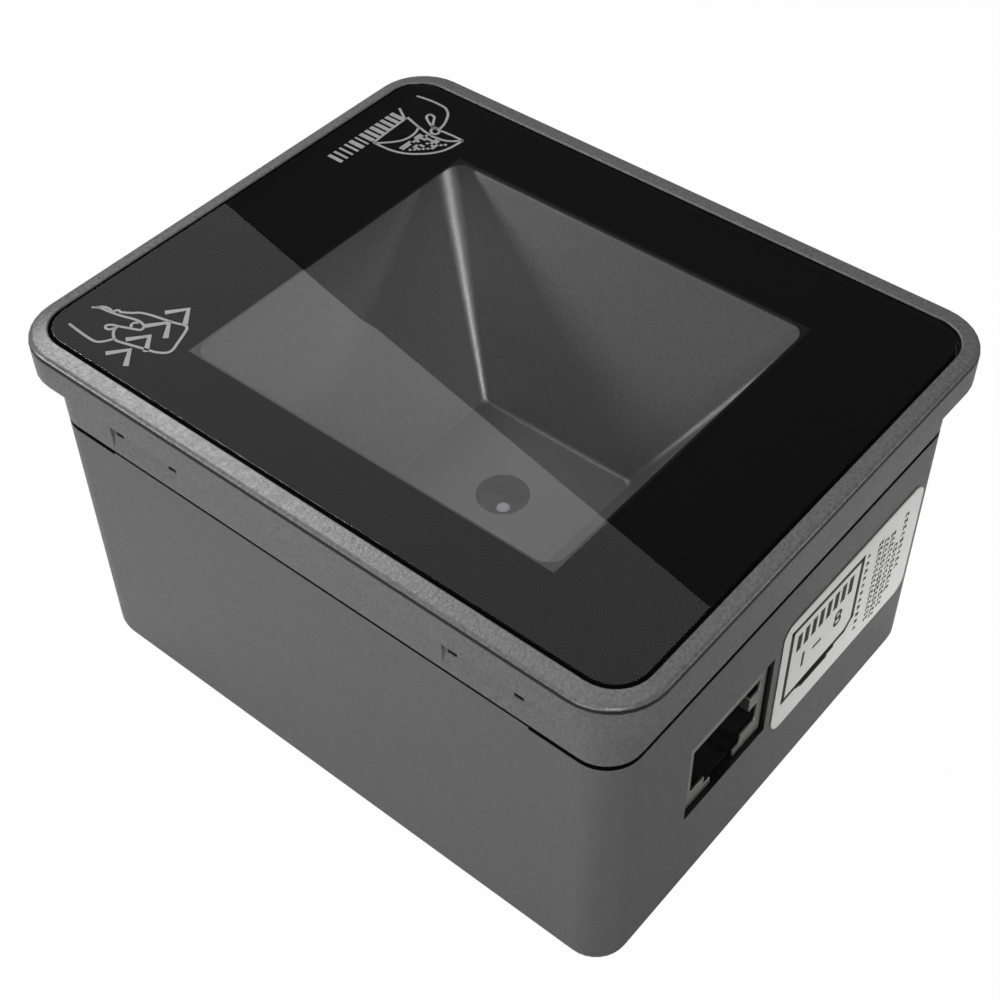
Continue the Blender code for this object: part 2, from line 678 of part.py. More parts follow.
def make_antenna_board():
    """Ring-shaped board round the funnel's mouth, with the copper loop that reads cards."""
    inside = [
        rounded_loop(lip_half_x + SEAT, lip_half_y + SEAT, MOUTH_RADIUS, z, (funnel_x, funnel_y))
        for z in (ring_top_z, ring_under_z)
    ]
    levels = (ring_under_z, ring_top_z)
    outside = [rounded_loop(ring_half_x, ring_half_y, DECK_OPENING_RADIUS, z) for z in levels]
    board = add_part("antenna_board", skin_loops(outside + inside, ring=True), board_green)
    cut_corners(board, bezel_boss_radius + SEAT, ring_under_z - 1, ring_top_z + 1)
    low_z = ring_top_z + FIT_GAP
    loop_x = lip_half_x + SEAT + LOOP_INSET + LOOP_WIDTH
    loop_y = lip_half_y + SEAT + LOOP_INSET + LOOP_WIDTH
    rows = []
    for inset, z in ((0, low_z), (0, low_z + LOOP_THICKNESS), (LOOP_WIDTH, low_z + LOOP_THICKNESS),
                     (LOOP_WIDTH, low_z)):
        rows.append(rounded_loop(loop_x - inset, loop_y - inset, MOUTH_RADIUS, z, (funnel_x, funnel_y)))
    add_part("antenna_loop", skin_loops(rows, ring=True), copper)


def make_antenna_cable():
    """Flat cable from the antenna board down to the main board, with a socket at each end."""
    socket_size = (SOCKET_STRIP_DEPTH, CABLE_WIDTH + 1.6, SOCKET_STRIP_HEIGHT)
    upper_z = ring_under_z - SEAT - SOCKET_STRIP_HEIGHT / 2
    lower_z = main_top_z + SEAT + SOCKET_STRIP_HEIGHT / 2
    for name, z, slot_side in (("antenna_socket", upper_z, -1), ("board_socket", lower_z, 1)):
        body = centred_block((socket_strip_x, 0, z), socket_size)
        socket = add_part(name, body, beige_nylon, smooth=False)
        slot_z = z + slot_side * SOCKET_STRIP_HEIGHT / 2
        slot_size = (CABLE_THICKNESS + 2 * CABLE_CLEARANCE, CABLE_WIDTH + 2 * CABLE_CLEARANCE,
                     SOCKET_STRIP_HEIGHT)
        cut(socket, centred_block((socket_strip_x, 0, slot_z), slot_size))
    start_z = lower_z + CABLE_CLEARANCE
    end_z = upper_z - CABLE_CLEARANCE
    path = []
    for step in range(CABLE_STEPS + 1):
        share = step / CABLE_STEPS
        bow = CABLE_BOW * (1 - math.cos(2 * math.pi * share)) / 2
        path.append((socket_strip_x - bow, start_z + (end_z - start_z) * share))
    body = folded_strip(path, CABLE_THICKNESS, -CABLE_WIDTH / 2, CABLE_WIDTH / 2)
    add_part("antenna_cable", body, cable_white)


def make_camera():
    """Small camera on its own board, looking up through the funnel's lens hole."""
    axis = (lens_x, lens_y)
    board_half = (CAMERA_BOARD_LENGTH / 2, CAMERA_BOARD_WIDTH / 2)
    board = rounded_plate(*board_half, 1.0, camera_under_z, camera_top_z, axis, 3)
    board = add_part("camera_board", board, board_green)
    for place in camera_screw_places:
        bore = (small_bore_radius, camera_under_z - 1, camera_top_z + 1)
        cut(board, cylinder(*bore, place, SMALL_ROUND_SEGMENTS))
    number = 0
    for place in camera_screw_places:
        number += 1
        seat_z = camera_under_z - CAMERA_SCREW_GAP
        bite_z = camera_top_z + CAMERA_SCREW_BITE
        screw = small_screw(place, seat_z, bite_z, head_up=False)
        add_part(f"camera_screw_{number}", screw, zinc_steel)

    sensor_low = camera_top_z + SEAT
    size = (SENSOR_SIZE, SENSOR_SIZE, SENSOR_HEIGHT)
    body = bevelled(centred_block((*axis, sensor_low + SENSOR_HEIGHT / 2), size), 0.1)
    add_part("image_sensor", body, chip_black, smooth=False)

    holder_low = camera_top_z + SEAT
    holder_high = holder_low + HOLDER_HEIGHT
    half = HOLDER_SIZE / 2
    body = rounded_plate(half, half, 1.0, holder_low, holder_high, axis, 3)
    holder = add_part("lens_holder", body, matte_black)
    cavity_half = SENSOR_SIZE / 2 + SEAT
    ceiling_z = sensor_low + SENSOR_HEIGHT + SEAT
    cut(holder, block((lens_x - cavity_half, lens_y - cavity_half, holder_low - 1),
                      (lens_x + cavity_half, lens_y + cavity_half, ceiling_z)))
    bore = BARREL_DIAMETER / 2 + SCREW_CLEARANCE
    cut(holder, cylinder(bore, ceiling_z - 0.1, holder_high + 1, axis))

    barrel_low = ceiling_z + SEAT
    barrel_high = funnel_floor_z - BARREL_DROP
    shoulder_z = holder_high
    head_radius = BARREL_HEAD_DIAMETER / 2
    lens_radius = FRONT_LENS_DIAMETER / 2
    filter_radius = FILTER_DIAMETER / 2
    lens_low = barrel_high - FRONT_LENS_THICKNESS
    filter_high = barrel_low + FILTER_THICKNESS + 2 * FIT_GAP
    profile = [
        (filter_radius + FIT_GAP, barrel_low),
        (BARREL_DIAMETER / 2, barrel_low),
        (BARREL_DIAMETER / 2, shoulder_z),
        (head_radius, shoulder_z),
        (head_radius, barrel_high),
        (lens_radius + FIT_GAP, barrel_high),
        (lens_radius + FIT_GAP, lens_low - FIT_GAP),
        (lens_radius - BARREL_STOP, lens_low - FIT_GAP),
        (lens_radius - BARREL_STOP, filter_high),
        (filter_radius + FIT_GAP, filter_high),
    ]
    add_part("lens_barrel", turned(profile, axis, ring=True), matte_black)

    dome = FRONT_LENS_THICKNESS * 0.6
    lens = [(lens_radius, lens_low)]
    for step in range(5):
        angle = math.radians(90 * step / 5)
        lens.append((lens_radius * math.cos(angle), barrel_high - dome * (1 - math.sin(angle))))
    add_part("front_lens", turned(lens, axis, segments=SMALL_ROUND_SEGMENTS), clear_glass)
    low_z = barrel_low + FIT_GAP
    add_part("infrared_filter", cylinder(filter_radius, low_z, low_z + FILTER_THICKNESS, axis), clear_glass)

    cover_high = funnel_floor_z - LENS_COVER_RECESS
    cover_radius = LENS_HOLE_DIAMETER / 2 - SEAT
    cover = cylinder(cover_radius, cover_high - LENS_COVER_THICKNESS, cover_high, axis)
    add_part("lens_cover", cover, tinted_acrylic)

    low_z = holder_high + SEAT
    high_z = low_z + LIGHT_BOARD_THICKNESS
    profile = [
        (head_radius + FIT_GAP, high_z),
        (head_radius + FIT_GAP, low_z),
        (LIGHT_BOARD_DIAMETER / 2, low_z),
        (LIGHT_BOARD_DIAMETER / 2, high_z),
    ]
    add_part("light_board", turned(profile, axis, ring=True), board_green)
    led_z = high_z + FIT_GAP + LED_HEIGHT / 2
    for index, (turn_x, turn_y) in enumerate(((1, 0), (0, 1), (-1, 0), (0, -1))):
        centre = (lens_x + turn_x * LED_RADIUS, lens_y + turn_y * LED_RADIUS, led_z)
        size = (LED_WIDTH, LED_LENGTH, LED_HEIGHT) if turn_x else (LED_LENGTH, LED_WIDTH, LED_HEIGHT)
        body = bevelled(centred_block(centre, size), 0.06)
        add_part(f"fill_led_{index + 1}", body, smoked_epoxy, smooth=False)

    gap = camera_under_z - main_top_z
    size = (CAMERA_PLUG_LENGTH, CAMERA_PLUG_WIDTH, gap - 2 * SEAT)
    body = centred_block((lens_x, lens_y, main_top_z + gap / 2), size)
    add_part("camera_connector", body, beige_nylon, smooth=False)


def small_screw(place, head_seat_z, end_z, head_up):
    """Pan-head screw whose head sits on the seat and whose shank runs to the end."""
    head = SMALL_SCREW_HEAD_DIAMETER / 2
    shank = SMALL_SCREW_DIAMETER / 2
    away = 1 if head_up else -1
    tip = end_z + away * 0.3
    profile = [
        (shank - 0.3, end_z),
        (shank, tip),
        (shank, head_seat_z),
        (head, head_seat_z),
        (head, head_seat_z + away * SMALL_SCREW_HEAD_HEIGHT * 0.6),
        (head * 0.75, head_seat_z + away * SMALL_SCREW_HEAD_HEIGHT),
    ]
    return turned(profile if head_up else profile[::-1], place, segments=SMALL_ROUND_SEGMENTS)


def make_main_board():
    """Main board on the housing's standoffs, with the parts that stand on it."""
    low = (-main_half_x, -main_half_y, main_under_z)
    high = (main_half_x, main_half_y, main_top_z)
    board = add_part("main_board", block(low, high), board_green, smooth=False)
    cut_corners(board, housing_boss_radius + BOARD_CLEARANCE, main_under_z - 1, main_top_z + 1)
    number = 0
    for place in standoff_places:
        bore = (small_bore_radius, main_under_z - 1, main_top_z + 1)
        cut(board, cylinder(*bore, place, SMALL_ROUND_SEGMENTS))
    for place in standoff_places:
        number += 1
        end_z = main_under_z - SEAT - SMALL_SCREW_BITE
        screw = small_screw(place, main_top_z + SEAT, end_z, head_up=True)
        add_part(f"board_screw_{number}", screw, zinc_steel)

    under = main_under_z - SEAT
    for name, place, size, material in UNDERSIDE_CHIPS:
        centre = (place[0], place[1], under - size[2] / 2)
        add_part(name, bevelled(centred_block(centre, size), 0.12), material, smooth=False)
    over = main_top_z + SEAT
    centre_y = port_y + jack_half_y + TRANSFORMER_GAP + TRANSFORMER_SIZE[1] / 2
    centre = (jack_back_x + TRANSFORMER_SIZE[0] / 2, centre_y, over + TRANSFORMER_SIZE[2] / 2)
    body = bevelled(centred_block(centre, TRANSFORMER_SIZE), 0.15)
    add_part("port_transformer", body, chip_black, smooth=False)
    left_x = -main_half_x + INDUCTOR_INSET_X
    capacitor_y = -main_half_y + CAPACITOR_INSET_Y
    inductor_y = capacitor_y + CAPACITOR_DIAMETER / 2 + INDUCTOR_GAP + INDUCTOR_SIZE[1] / 2
    centre = (left_x, inductor_y, over + INDUCTOR_SIZE[2] / 2)
    add_part("power_inductor", bevelled(centred_block(centre, INDUCTOR_SIZE), 0.5), ferrite, smooth=False)
    radius = CAPACITOR_DIAMETER / 2
    neck_z = over + CAPACITOR_HEIGHT * 0.22
    top = over + CAPACITOR_HEIGHT
    can = [
        (radius, over),
        (radius, neck_z - 0.35),
        (radius - 0.35, neck_z),
        (radius, neck_z + 0.35),
        (radius, top - 0.4),
        (radius - 0.4, top),
    ]
    place = (-main_half_x + CAPACITOR_INSET_X, capacitor_y)
    add_part("power_capacitor", turned(can, place), bare_aluminium)
    radius = BUZZER_DIAMETER / 2
    top = over + BUZZER_HEIGHT
    cup = [
        (radius, over),
        (radius, top - 0.5),
        (radius - 0.5, top),
        (BUZZER_HOLE / 2, top),
        (BUZZER_HOLE / 2, top - BUZZER_HEIGHT * 0.6),
    ]
    place = (-main_half_x + BUZZER_INSET_X, main_half_y - BUZZER_INSET_Y)
    add_part("buzzer", turned(cup, place), matte_black)


def make_jack():
    """Shielded eight-way network socket: sheet shield, moulded insert and spring contacts."""
    low_y = port_y - jack_half_y
    high_y = port_y + jack_half_y
    shield = block((jack_back_x, low_y, jack_under_z), (jack_face_x, high_y, jack_top_z))
    shield = add_part("jack_shield", shield, tinned_steel, smooth=False)
    inner = SHIELD_THICKNESS
    cut(shield, block((jack_back_x + inner, low_y + inner, jack_under_z - 1),
                      (jack_face_x - inner, high_y - inner, jack_top_z - inner)))
    for body in socket_bodies(jack_face_x - inner - 0.5, jack_face_x + 1, 0.0, jack_under_z - 1):
        cut(shield, body)
    finger_z = socket_under_z + SOCKET_HEIGHT * 0.44
    socket_side_y = port_y + SOCKET_WIDTH / 2
    finger_y = socket_side_y - FINGER_STEP
    join(shield, block((jack_face_x - inner, finger_y - inner, finger_z),
                       (jack_face_x, socket_side_y + 0.05, finger_z + FINGER_HEIGHT)))
    join(shield, block((jack_face_x - FINGER_LENGTH, finger_y - inner, finger_z),
                       (jack_face_x - inner / 2, finger_y, finger_z + FINGER_HEIGHT)))

    gap = inner + FIT_GAP + 0.05
    insert = block((jack_back_x + gap, low_y + gap, jack_under_z),
                   (jack_face_x - gap, high_y - gap, jack_top_z - gap))
    insert = add_part("jack_insert", insert, matte_black, smooth=False)
    deep_x = jack_face_x - gap - SOCKET_DEPTH
    for body in socket_bodies(deep_x, jack_face_x + 1, 0.1, jack_under_z + LATCH_FLOOR):
        cut(insert, body)

    back_x = jack_face_x - gap - SOCKET_DEPTH + SEAT
    ceiling_z = socket_top_z + 0.1 - SEAT - CONTACT_THICKNESS / 2
    path = [
        (back_x, ceiling_z),
        (back_x + SOCKET_DEPTH * 0.30, ceiling_z),
        (back_x + SOCKET_DEPTH * 0.62, ceiling_z - CONTACT_DROP),
        (back_x + SOCKET_DEPTH * 0.70, ceiling_z - CONTACT_DROP),
    ]
    for index in range(CONTACT_COUNT):
        centre_y = port_y + (index - (CONTACT_COUNT - 1) / 2) * CONTACT_PITCH
        side = CONTACT_WIDTH / 2
        body = folded_strip(path, CONTACT_THICKNESS, centre_y - side, centre_y + side)
        add_part(f"jack_contact_{index + 1}", body, gold_plate, smooth=False)


def socket_bodies(low_x, high_x, grow, slot_under_z):
    """The plug's opening: the main hollow, and the stepped slot for its latch below."""
    spans = (
        (SOCKET_WIDTH / 2, socket_under_z, socket_top_z),
        (LATCH_STEP_WIDTH / 2, socket_under_z - LATCH_STEP_DEPTH, socket_under_z + 0.5),
        (LATCH_SLOT_WIDTH / 2, slot_under_z, socket_under_z + 0.5),
    )
    for half, low_z, high_z in spans:
        low = (low_x, port_y - half - grow, low_z - grow)
        high = (high_x, port_y + half + grow, high_z + grow)
        yield block(low, high)


def make_housing_screws():
    """Four long screws that come up from the base and close the case."""
    head = HOUSING_SCREW_HEAD_DIAMETER / 2
    shank = HOUSING_SCREW_DIAMETER / 2
    seat = screw_seat_z - SEAT
    end = bezel_boss_z + HOUSING_SCREW_BITE
    profile = [
        (head * 0.75, seat - HOUSING_SCREW_HEAD_HEIGHT),
        (head, seat - HOUSING_SCREW_HEAD_HEIGHT * 0.6),
        (head, seat),
        (shank, seat),
        (shank, end - 0.4),
        (shank - 0.4, end),
    ]
    for index, place in enumerate(corner_places):
        body = turned(profile, place, segments=SMALL_ROUND_SEGMENTS)
        add_part(f"housing_screw_{index + 1}", body, zinc_steel)


def make_label():
    """Paper label on the +X wall, between the socket and the corner."""
    low_y = port_y + PORT_WIDTH / 2 + LABEL_GAP
    high_y = body_half_y - BODY_RADIUS - LABEL_END_MARGIN
    centre_z = (port_top_z + port_under_z) / 2 + LABEL_RISE
    centre_y = (low_y + high_y) / 2
    half = (high_y - low_y) / 2
    outline = rounded_loop(half, LABEL_HEIGHT / 2, LABEL_RADIUS, 0.0, (centre_y, centre_z), 5)
    low_x = body_half_x + LABEL_STANDOFF
    loops = [[(x, y, z) for y, z, _ in outline] for x in (low_x, low_x + LABEL_THICKNESS)]
    add_part("port_label", skin_loops(loops, ring=False), label_paper)



clear_scene()
root = bpy.data.objects.new("reader", None)
bpy.context.scene.collection.objects.link(root)

grey_abs = plastic("grey moulded ABS", (0.10, 0.10, 0.10), 0.45)
grey_reflector = plastic("grey reflector paint", (0.17, 0.17, 0.17), 0.40)
smoked_glass = plastic("printed cover glass", (0.01, 0.01, 0.01), 0.05)
clear_glass = plastic("clear lens glass", (0.05, 0.05, 0.06), 0.05)
tinted_acrylic = plastic("tinted acrylic disc", (0.03, 0.03, 0.03), 0.2)
black_foam = plastic("black adhesive foam", (0.02, 0.02, 0.02), 0.9)
matte_black = plastic("matte black nylon", (0.015, 0.015, 0.015), 0.6)
chip_black = plastic("black epoxy chip", (0.02, 0.02, 0.02), 0.5)
ferrite = plastic("pressed ferrite", (0.06, 0.06, 0.065), 0.7)
board_green = plastic("green circuit board", (0.02, 0.12, 0.05), 0.45)
beige_nylon = plastic("beige connector nylon", (0.65, 0.60, 0.48), 0.5)
cable_white = plastic("white flat cable", (0.75, 0.75, 0.75), 0.4)
smoked_epoxy = plastic("smoked epoxy LED", (0.02, 0.015, 0.015), 0.3)
label_paper = plastic("white label paper", (0.80, 0.80, 0.80), 0.6)
tinned_steel = plastic("tinned steel sheet", (0.45, 0.45, 0.45), 0.35, 1.0)
zinc_steel = plastic("zinc plated steel", (0.55, 0.55, 0.56), 0.35, 1.0)
bare_aluminium = plastic("bare aluminium can", (0.70, 0.70, 0.70), 0.35, 1.0)
gold_plate = plastic("gold plated spring", (0.80, 0.58, 0.25), 0.3, 1.0)
copper = plastic("copper antenna track", (0.72, 0.38, 0.22), 0.4, 1.0)

UNDERSIDE_CHIPS = (
    ("processor_chip", (-2.0, 1.0), (14.0, 14.0, 1.2), chip_black),
    ("memory_chip", (-18.0, 4.0), (9.0, 11.0, 1.0), chip_black),
    ("card_reader_chip", (-20.0, -12.0), (6.0, 6.0, 0.9), chip_black),
    ("port_driver_chip", (17.0, -8.0), (7.0, 7.0, 0.9), chip_black),
    ("crystal_can", (11.5, 8.0), (3.2, 2.5, 0.8), zinc_steel),
)

make_bezel()
make_window()
make_funnel()
make_antenna_board()
make_antenna_cable()
make_camera()
make_main_board()
make_jack()
make_lower_housing()
make_housing_screws()
make_label()
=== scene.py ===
import math

import bmesh
import bpy
from mathutils import Matrix, Vector


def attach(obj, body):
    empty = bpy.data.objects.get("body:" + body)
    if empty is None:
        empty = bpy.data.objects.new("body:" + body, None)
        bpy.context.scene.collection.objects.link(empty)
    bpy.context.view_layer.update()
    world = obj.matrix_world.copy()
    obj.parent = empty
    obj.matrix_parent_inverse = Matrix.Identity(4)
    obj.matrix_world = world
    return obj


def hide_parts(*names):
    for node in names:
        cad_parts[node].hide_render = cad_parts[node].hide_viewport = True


# Looks of a panel-mounted code and card reader: a dark grey moulded case with a flanged cover glass,
# a grey reflector funnel behind the glass, and a network socket with its label in the right-hand wall.
# Sizes are in millimetres and are turned to metres when a mesh is made.

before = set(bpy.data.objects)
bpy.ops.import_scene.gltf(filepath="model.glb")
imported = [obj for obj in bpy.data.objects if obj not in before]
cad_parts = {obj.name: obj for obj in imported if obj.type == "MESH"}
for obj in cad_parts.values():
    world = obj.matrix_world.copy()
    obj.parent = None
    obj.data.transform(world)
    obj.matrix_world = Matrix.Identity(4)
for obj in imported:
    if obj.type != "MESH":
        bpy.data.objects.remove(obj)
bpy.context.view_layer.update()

MM = 0.001

# Cover glass and what is printed on its underside: half sizes, corner radii and heights
GLASS_HALF = (37.25, 29.15)
GLASS_RADIUS = 3.75
GLASS_TOP = 46.2
GLASS_UNDER = 45.1
GLASS_CLARITY = 0.935
WINDOW_HALF = (23.3, 20.85)
WINDOW_RADIUS = 2.2
BORDER_TOP = GLASS_UNDER - 0.04
BORDER_THICKNESS = 0.06
BORDER_INSET = 0.12
PICTURE_LOW = BORDER_TOP + 0.01
PICTURE_HIGH = BORDER_TOP + 0.025
PICTURE_LEVEL = GLASS_UNDER - 0.02
STROKE = 0.3

# The underside mirrors too where the window is clear. How far aside that shows, and how much it adds, which
# is more than plain glass gives and so partly a painted reflection: it is set to the photograph's glare
PAINTED_SHEEN_SHIFT = (0.89, -1.0)
PAINTED_SHEEN_GAIN = 1.6

# How upright a glass face's normal is at most where the face is ground, and at least where it is polished
GROUND_RANGE = (0.9, 0.999)

# Hole in the funnel's floor that the lens cover sits in, and how upright the floor's normal is at least for
# its painted shade
LENS_AXIS = (0.25 * MM, -0.30 * MM, 0.0)
LENS_SEAT_RADIUS = 3.02
FLOOR_UPRIGHT = 0.9

# Outlines of the case at which the painted shade of its gaps and recesses begins, and how far inside them its
# grey still reaches
BODY_HALF = (37.3, 29.7)
BODY_RADIUS = 4.0
RECESS_HALF = (37.5, 29.4)
RECESS_RADIUS = 4.0
FLANGE_HALF = (39.35, 31.75)
FLANGE_RADIUS = 6.1
JOINT_REACH = 0.04
SKIRT_REACH = 0.42
RECESS_EASE = 0.02
RIM_LINE_DEPTH = 0.3

# Heights that bound the painted shade: base, parting joint, floor of the glass recess, and the painted dark
# band below the rim
BASE_TOP = 2.0
JOINT_TOP = 35.02
RECESS_FLOOR = 41.8
PAINTED_RIM_BAND = (45.33, 45.71)
# Black painted as shade in the case's gaps, recesses and cut-outs, on the rim's dark band and in the lens
# hole
PAINTED_SHADE_BLACK = "0b0b0b"

# Part of a noise pattern's values that its colours and roughness run over, and how far roughness varies
NOISE_RANGE = (0.3, 0.7)
ROUGHNESS_SPREAD = 0.06

# How the copy of a CAD node is cleaned and its edges softened
MERGE_DISTANCE = 0.000001
FLAT_ANGLE = math.radians(0.6)
EDGE_ANGLE = math.radians(40)
EDGE_STEPS = 2
FACE_WEIGHT = 90

# Label beside the socket, on the +X wall: corners, back, face and the levels of its print
LABEL_LOW = (-1.5, 11.6)
LABEL_HIGH = (25.2, 28.6)
LABEL_RADIUS = 1.8
LABEL_BACK = 37.4
LABEL_FACE = 37.55
INK_START = 0.005
INK_MIDDLE = 0.015
INK_RISE = 0.025

# Photograph's camera: place, axes and lens
CAMERA_PLACE = (84.676, -100.225, 160.348)
CAMERA_RIGHT = (0.77024, 0.63764, -0.01190)
CAMERA_DOWN = (0.45734, -0.56526, -0.68653)
CAMERA_FORWARD = (-0.44448, 0.52335, -0.72701)
CAMERA_LENS = 61.82


def linear(code):
    """Linear colour from an sRGB hex value."""
    values = [int(code[place:place + 2], 16) / 255 for place in (0, 2, 4)]
    return [v / 12.92 if v <= 0.04045 else ((v + 0.055) / 1.055) ** 2.4 for v in values] + [1.0]


def add_node(tree, kind, settings=None, inputs=None):
    """Add a node, set its properties and its input values, and link the inputs given as sockets."""
    made = tree.nodes.new(kind)
    for key, value in (settings or {}).items():
        setattr(made, key, value)
    for key, value in (inputs or {}).items():
        if isinstance(value, bpy.types.NodeSocket):
            tree.links.new(value, made.inputs[key])
        else:
            made.inputs[key].default_value = value
    return made


def new_material(name, colour, roughness, metallic=0.0, **more):
    """Principled material with plain values on its own sockets."""
    made = bpy.data.materials.new(name)
    made.use_nodes = True
    shader = made.node_tree.nodes["Principled BSDF"]
    shader.inputs["Base Color"].default_value = linear(colour)
    shader.inputs["Roughness"].default_value = roughness
    shader.inputs["Metallic"].default_value = metallic
    for key, value in more.items():
        shader.inputs[key.replace("_", " ")].default_value = value
    return made, made.node_tree, shader


def noise(tree, size, detail, seed=0.0):
    """Noise whose features are about as wide as the size in millimetres."""
    place = add_node(tree, "ShaderNodeTexCoord").outputs["Object"]
    inputs = {"Vector": place, "W": seed, "Scale": 1 / (size * MM), "Detail": detail}
    return add_node(tree, "ShaderNodeTexNoise", {"noise_dimensions": "4D"}, inputs).outputs["Fac"]


def vary_colour(tree, shader, value, colours):
    """Run the base colour between two hex colours."""
    ramp = add_node(tree, "ShaderNodeValToRGB", inputs={"Fac": value})
    for stop, code, place in zip(ramp.color_ramp.elements, colours, NOISE_RANGE):
        stop.color = linear(code)
        stop.position = place
    tree.links.new(ramp.outputs["Color"], shader.inputs["Base Color"])


def raise_bump(tree, shader, height, depth):
    """Bump of the depth in millimetres."""
    inputs = {"Height": height, "Strength": 1.0, "Distance": depth * MM}
    made = add_node(tree, "ShaderNodeBump", inputs=inputs)
    tree.links.new(made.outputs["Normal"], shader.inputs["Normal"])


def outline_distance(tree, half, radius):
    """Distance in millimetres from an upright outline with round corners, negative inside it."""
    flat = (1 / MM, 1 / MM, 0.0)
    straight = (half[0] - radius, half[1] - radius, 0.0)
    reach = add_node(tree, "ShaderNodeTexCoord").outputs["Object"]
    steps = (("MULTIPLY", flat), ("ABSOLUTE", flat), ("SUBTRACT", straight), ("MAXIMUM", (0, 0, 0)))
    for operation, other in steps:
        settings = {"operation": operation}
        reach = add_node(tree, "ShaderNodeVectorMath", settings, {0: reach, 1: other}).outputs[0]
    length = add_node(tree, "ShaderNodeVectorMath", {"operation": "LENGTH"}, {0: reach})
    inputs = {0: length.outputs["Value"], 1: radius}
    return add_node(tree, "ShaderNodeMath", {"operation": "SUBTRACT"}, inputs).outputs[0]


def where_all(tree, tests):
    """One where every test of a value, a comparison and a limit holds, else zero."""
    share = 1.0
    for value, comparison, limit in tests:
        holds = add_node(tree, "ShaderNodeMath", {"operation": comparison}, {0: value, 1: limit})
        inputs = {0: share, 1: holds.outputs[0]}
        share = add_node(tree, "ShaderNodeMath", {"operation": "MULTIPLY"}, inputs).outputs[0]
    return share


def recolour(tree, shader, places, code):
    """Give another colour to the places whose tests hold."""
    there = 0.0
    for tests in places:
        inputs = {0: there, 1: where_all(tree, tests)}
        there = add_node(tree, "ShaderNodeMath", {"operation": "MAXIMUM"}, inputs).outputs[0]
    paint = shader.inputs["Base Color"].links[0].from_socket
    mixed = add_node(tree, "ShaderNodeMix", {"data_type": "RGBA"}, {0: there, 6: paint, 7: linear(code)})
    tree.links.new(mixed.outputs[2], shader.inputs["Base Color"])


def painted_shade_places(tree, part):
    """Where a moulded part is painted black as shade: below its outer skin, in its narrow gaps, and on the
    bezel's dark band below its rim.
    """
    place = add_node(tree, "ShaderNodeTexCoord").outputs["Object"]
    height = add_node(tree, "ShaderNodeSeparateXYZ", inputs={0: place}).outputs["Z"]
    body = outline_distance(tree, BODY_HALF, BODY_RADIUS)
    if part == "lower_housing":
        return [[(body, "LESS_THAN", -JOINT_REACH), (height, "GREATER_THAN", BASE_TOP * MM)]]
    recess = outline_distance(tree, RECESS_HALF, RECESS_RADIUS)
    flange = outline_distance(tree, FLANGE_HALF, FLANGE_RADIUS)
    return [
        [(body, "LESS_THAN", -SKIRT_REACH), (height, "LESS_THAN", RECESS_FLOOR * MM)],
        [(body, "LESS_THAN", -JOINT_REACH), (height, "LESS_THAN", JOINT_TOP * MM)],
        [(recess, "LESS_THAN", RECESS_EASE), (height, "GREATER_THAN", RECESS_FLOOR * MM)],
        # Painted dark reflection: a thin black band along the foot of the rim's fillet
        [(flange, "GREATER_THAN", -RIM_LINE_DEPTH), (height, "GREATER_THAN", PAINTED_RIM_BAND[0] * MM),
         (height, "LESS_THAN", PAINTED_RIM_BAND[1] * MM)],
    ]


def coated_abs(part, colours, roughness, grain, depth):
    """Moulded ABS under a grey grained coat: the fine grain breaks up its sheen.

    It is painted black as shade in its gaps, recesses and cut-outs. The grain is raised only on faces that
    look up, where it shows most.
    """
    made, tree, shader = new_material("grey coated ABS " + part, colours[0], roughness, IOR=1.53)
    fine = noise(tree, grain, 1.5)
    vary_colour(tree, shader, fine, colours)
    inputs = {"Value": noise(tree, grain * 1.6, 2.0, seed=4.0), "From Min": NOISE_RANGE[0],
              "From Max": NOISE_RANGE[1], "To Min": roughness - ROUGHNESS_SPREAD,
              "To Max": roughness + ROUGHNESS_SPREAD}
    dull = add_node(tree, "ShaderNodeMapRange", inputs=inputs)
    tree.links.new(dull.outputs["Result"], shader.inputs["Roughness"])
    # Painted shade: black in the gaps, recesses and cut-outs below the outer skin
    recolour(tree, shader, painted_shade_places(tree, part), PAINTED_SHADE_BLACK)
    normal = add_node(tree, "ShaderNodeNewGeometry").outputs["Normal"]
    upright = add_node(tree, "ShaderNodeSeparateXYZ", inputs={0: normal}).outputs["Z"]
    settings = {"operation": "MULTIPLY", "use_clamp": True}
    upward = add_node(tree, "ShaderNodeMath", settings, {0: fine, 1: upright})
    raise_bump(tree, shader, upward.outputs[0], depth)
    return made


def lens_well_shade(tree):
    """The hole that the lens cover sits in, whose wall is painted black as shade."""
    across = add_node(tree, "ShaderNodeTexCoord").outputs["Object"]
    for operation, other in (("SUBTRACT", LENS_AXIS), ("MULTIPLY", (1, 1, 0))):
        settings = {"operation": operation}
        across = add_node(tree, "ShaderNodeVectorMath", settings, {0: across, 1: other}).outputs[0]
    reach = add_node(tree, "ShaderNodeVectorMath", {"operation": "LENGTH"}, {0: across})
    return [[(reach.outputs["Value"], "LESS_THAN", LENS_SEAT_RADIUS * MM)]]


def reflector_paint():
    """Satin metallic grey paint in the funnel: broad sheen on its corners, flakes 0.33 mm wide.

    The funnel's floor has a darker grey than its walls, which is painted shade, set to the photograph's
    tones.
    """
    made, tree, shader = new_material("satin metallic grey paint", "8c8c8c", 0.44, 0.85, IOR=1.5)
    flakes = noise(tree, 0.33, 3.0)
    vary_colour(tree, shader, flakes, ("848484", "949494"))
    normal = add_node(tree, "ShaderNodeNewGeometry").outputs["Normal"]
    upright = add_node(tree, "ShaderNodeSeparateXYZ", inputs={0: normal}).outputs["Z"]
    # Painted shade: the floor, which faces up, in a darker grey than the walls
    recolour(tree, shader, [[(upright, "GREATER_THAN", FLOOR_UPRIGHT)]], "6a6a6a")
    # Painted shade: the wall of the lens hole in black
    recolour(tree, shader, lens_well_shade(tree), PAINTED_SHADE_BLACK)
    raise_bump(tree, shader, flakes, 0.008)
    return made


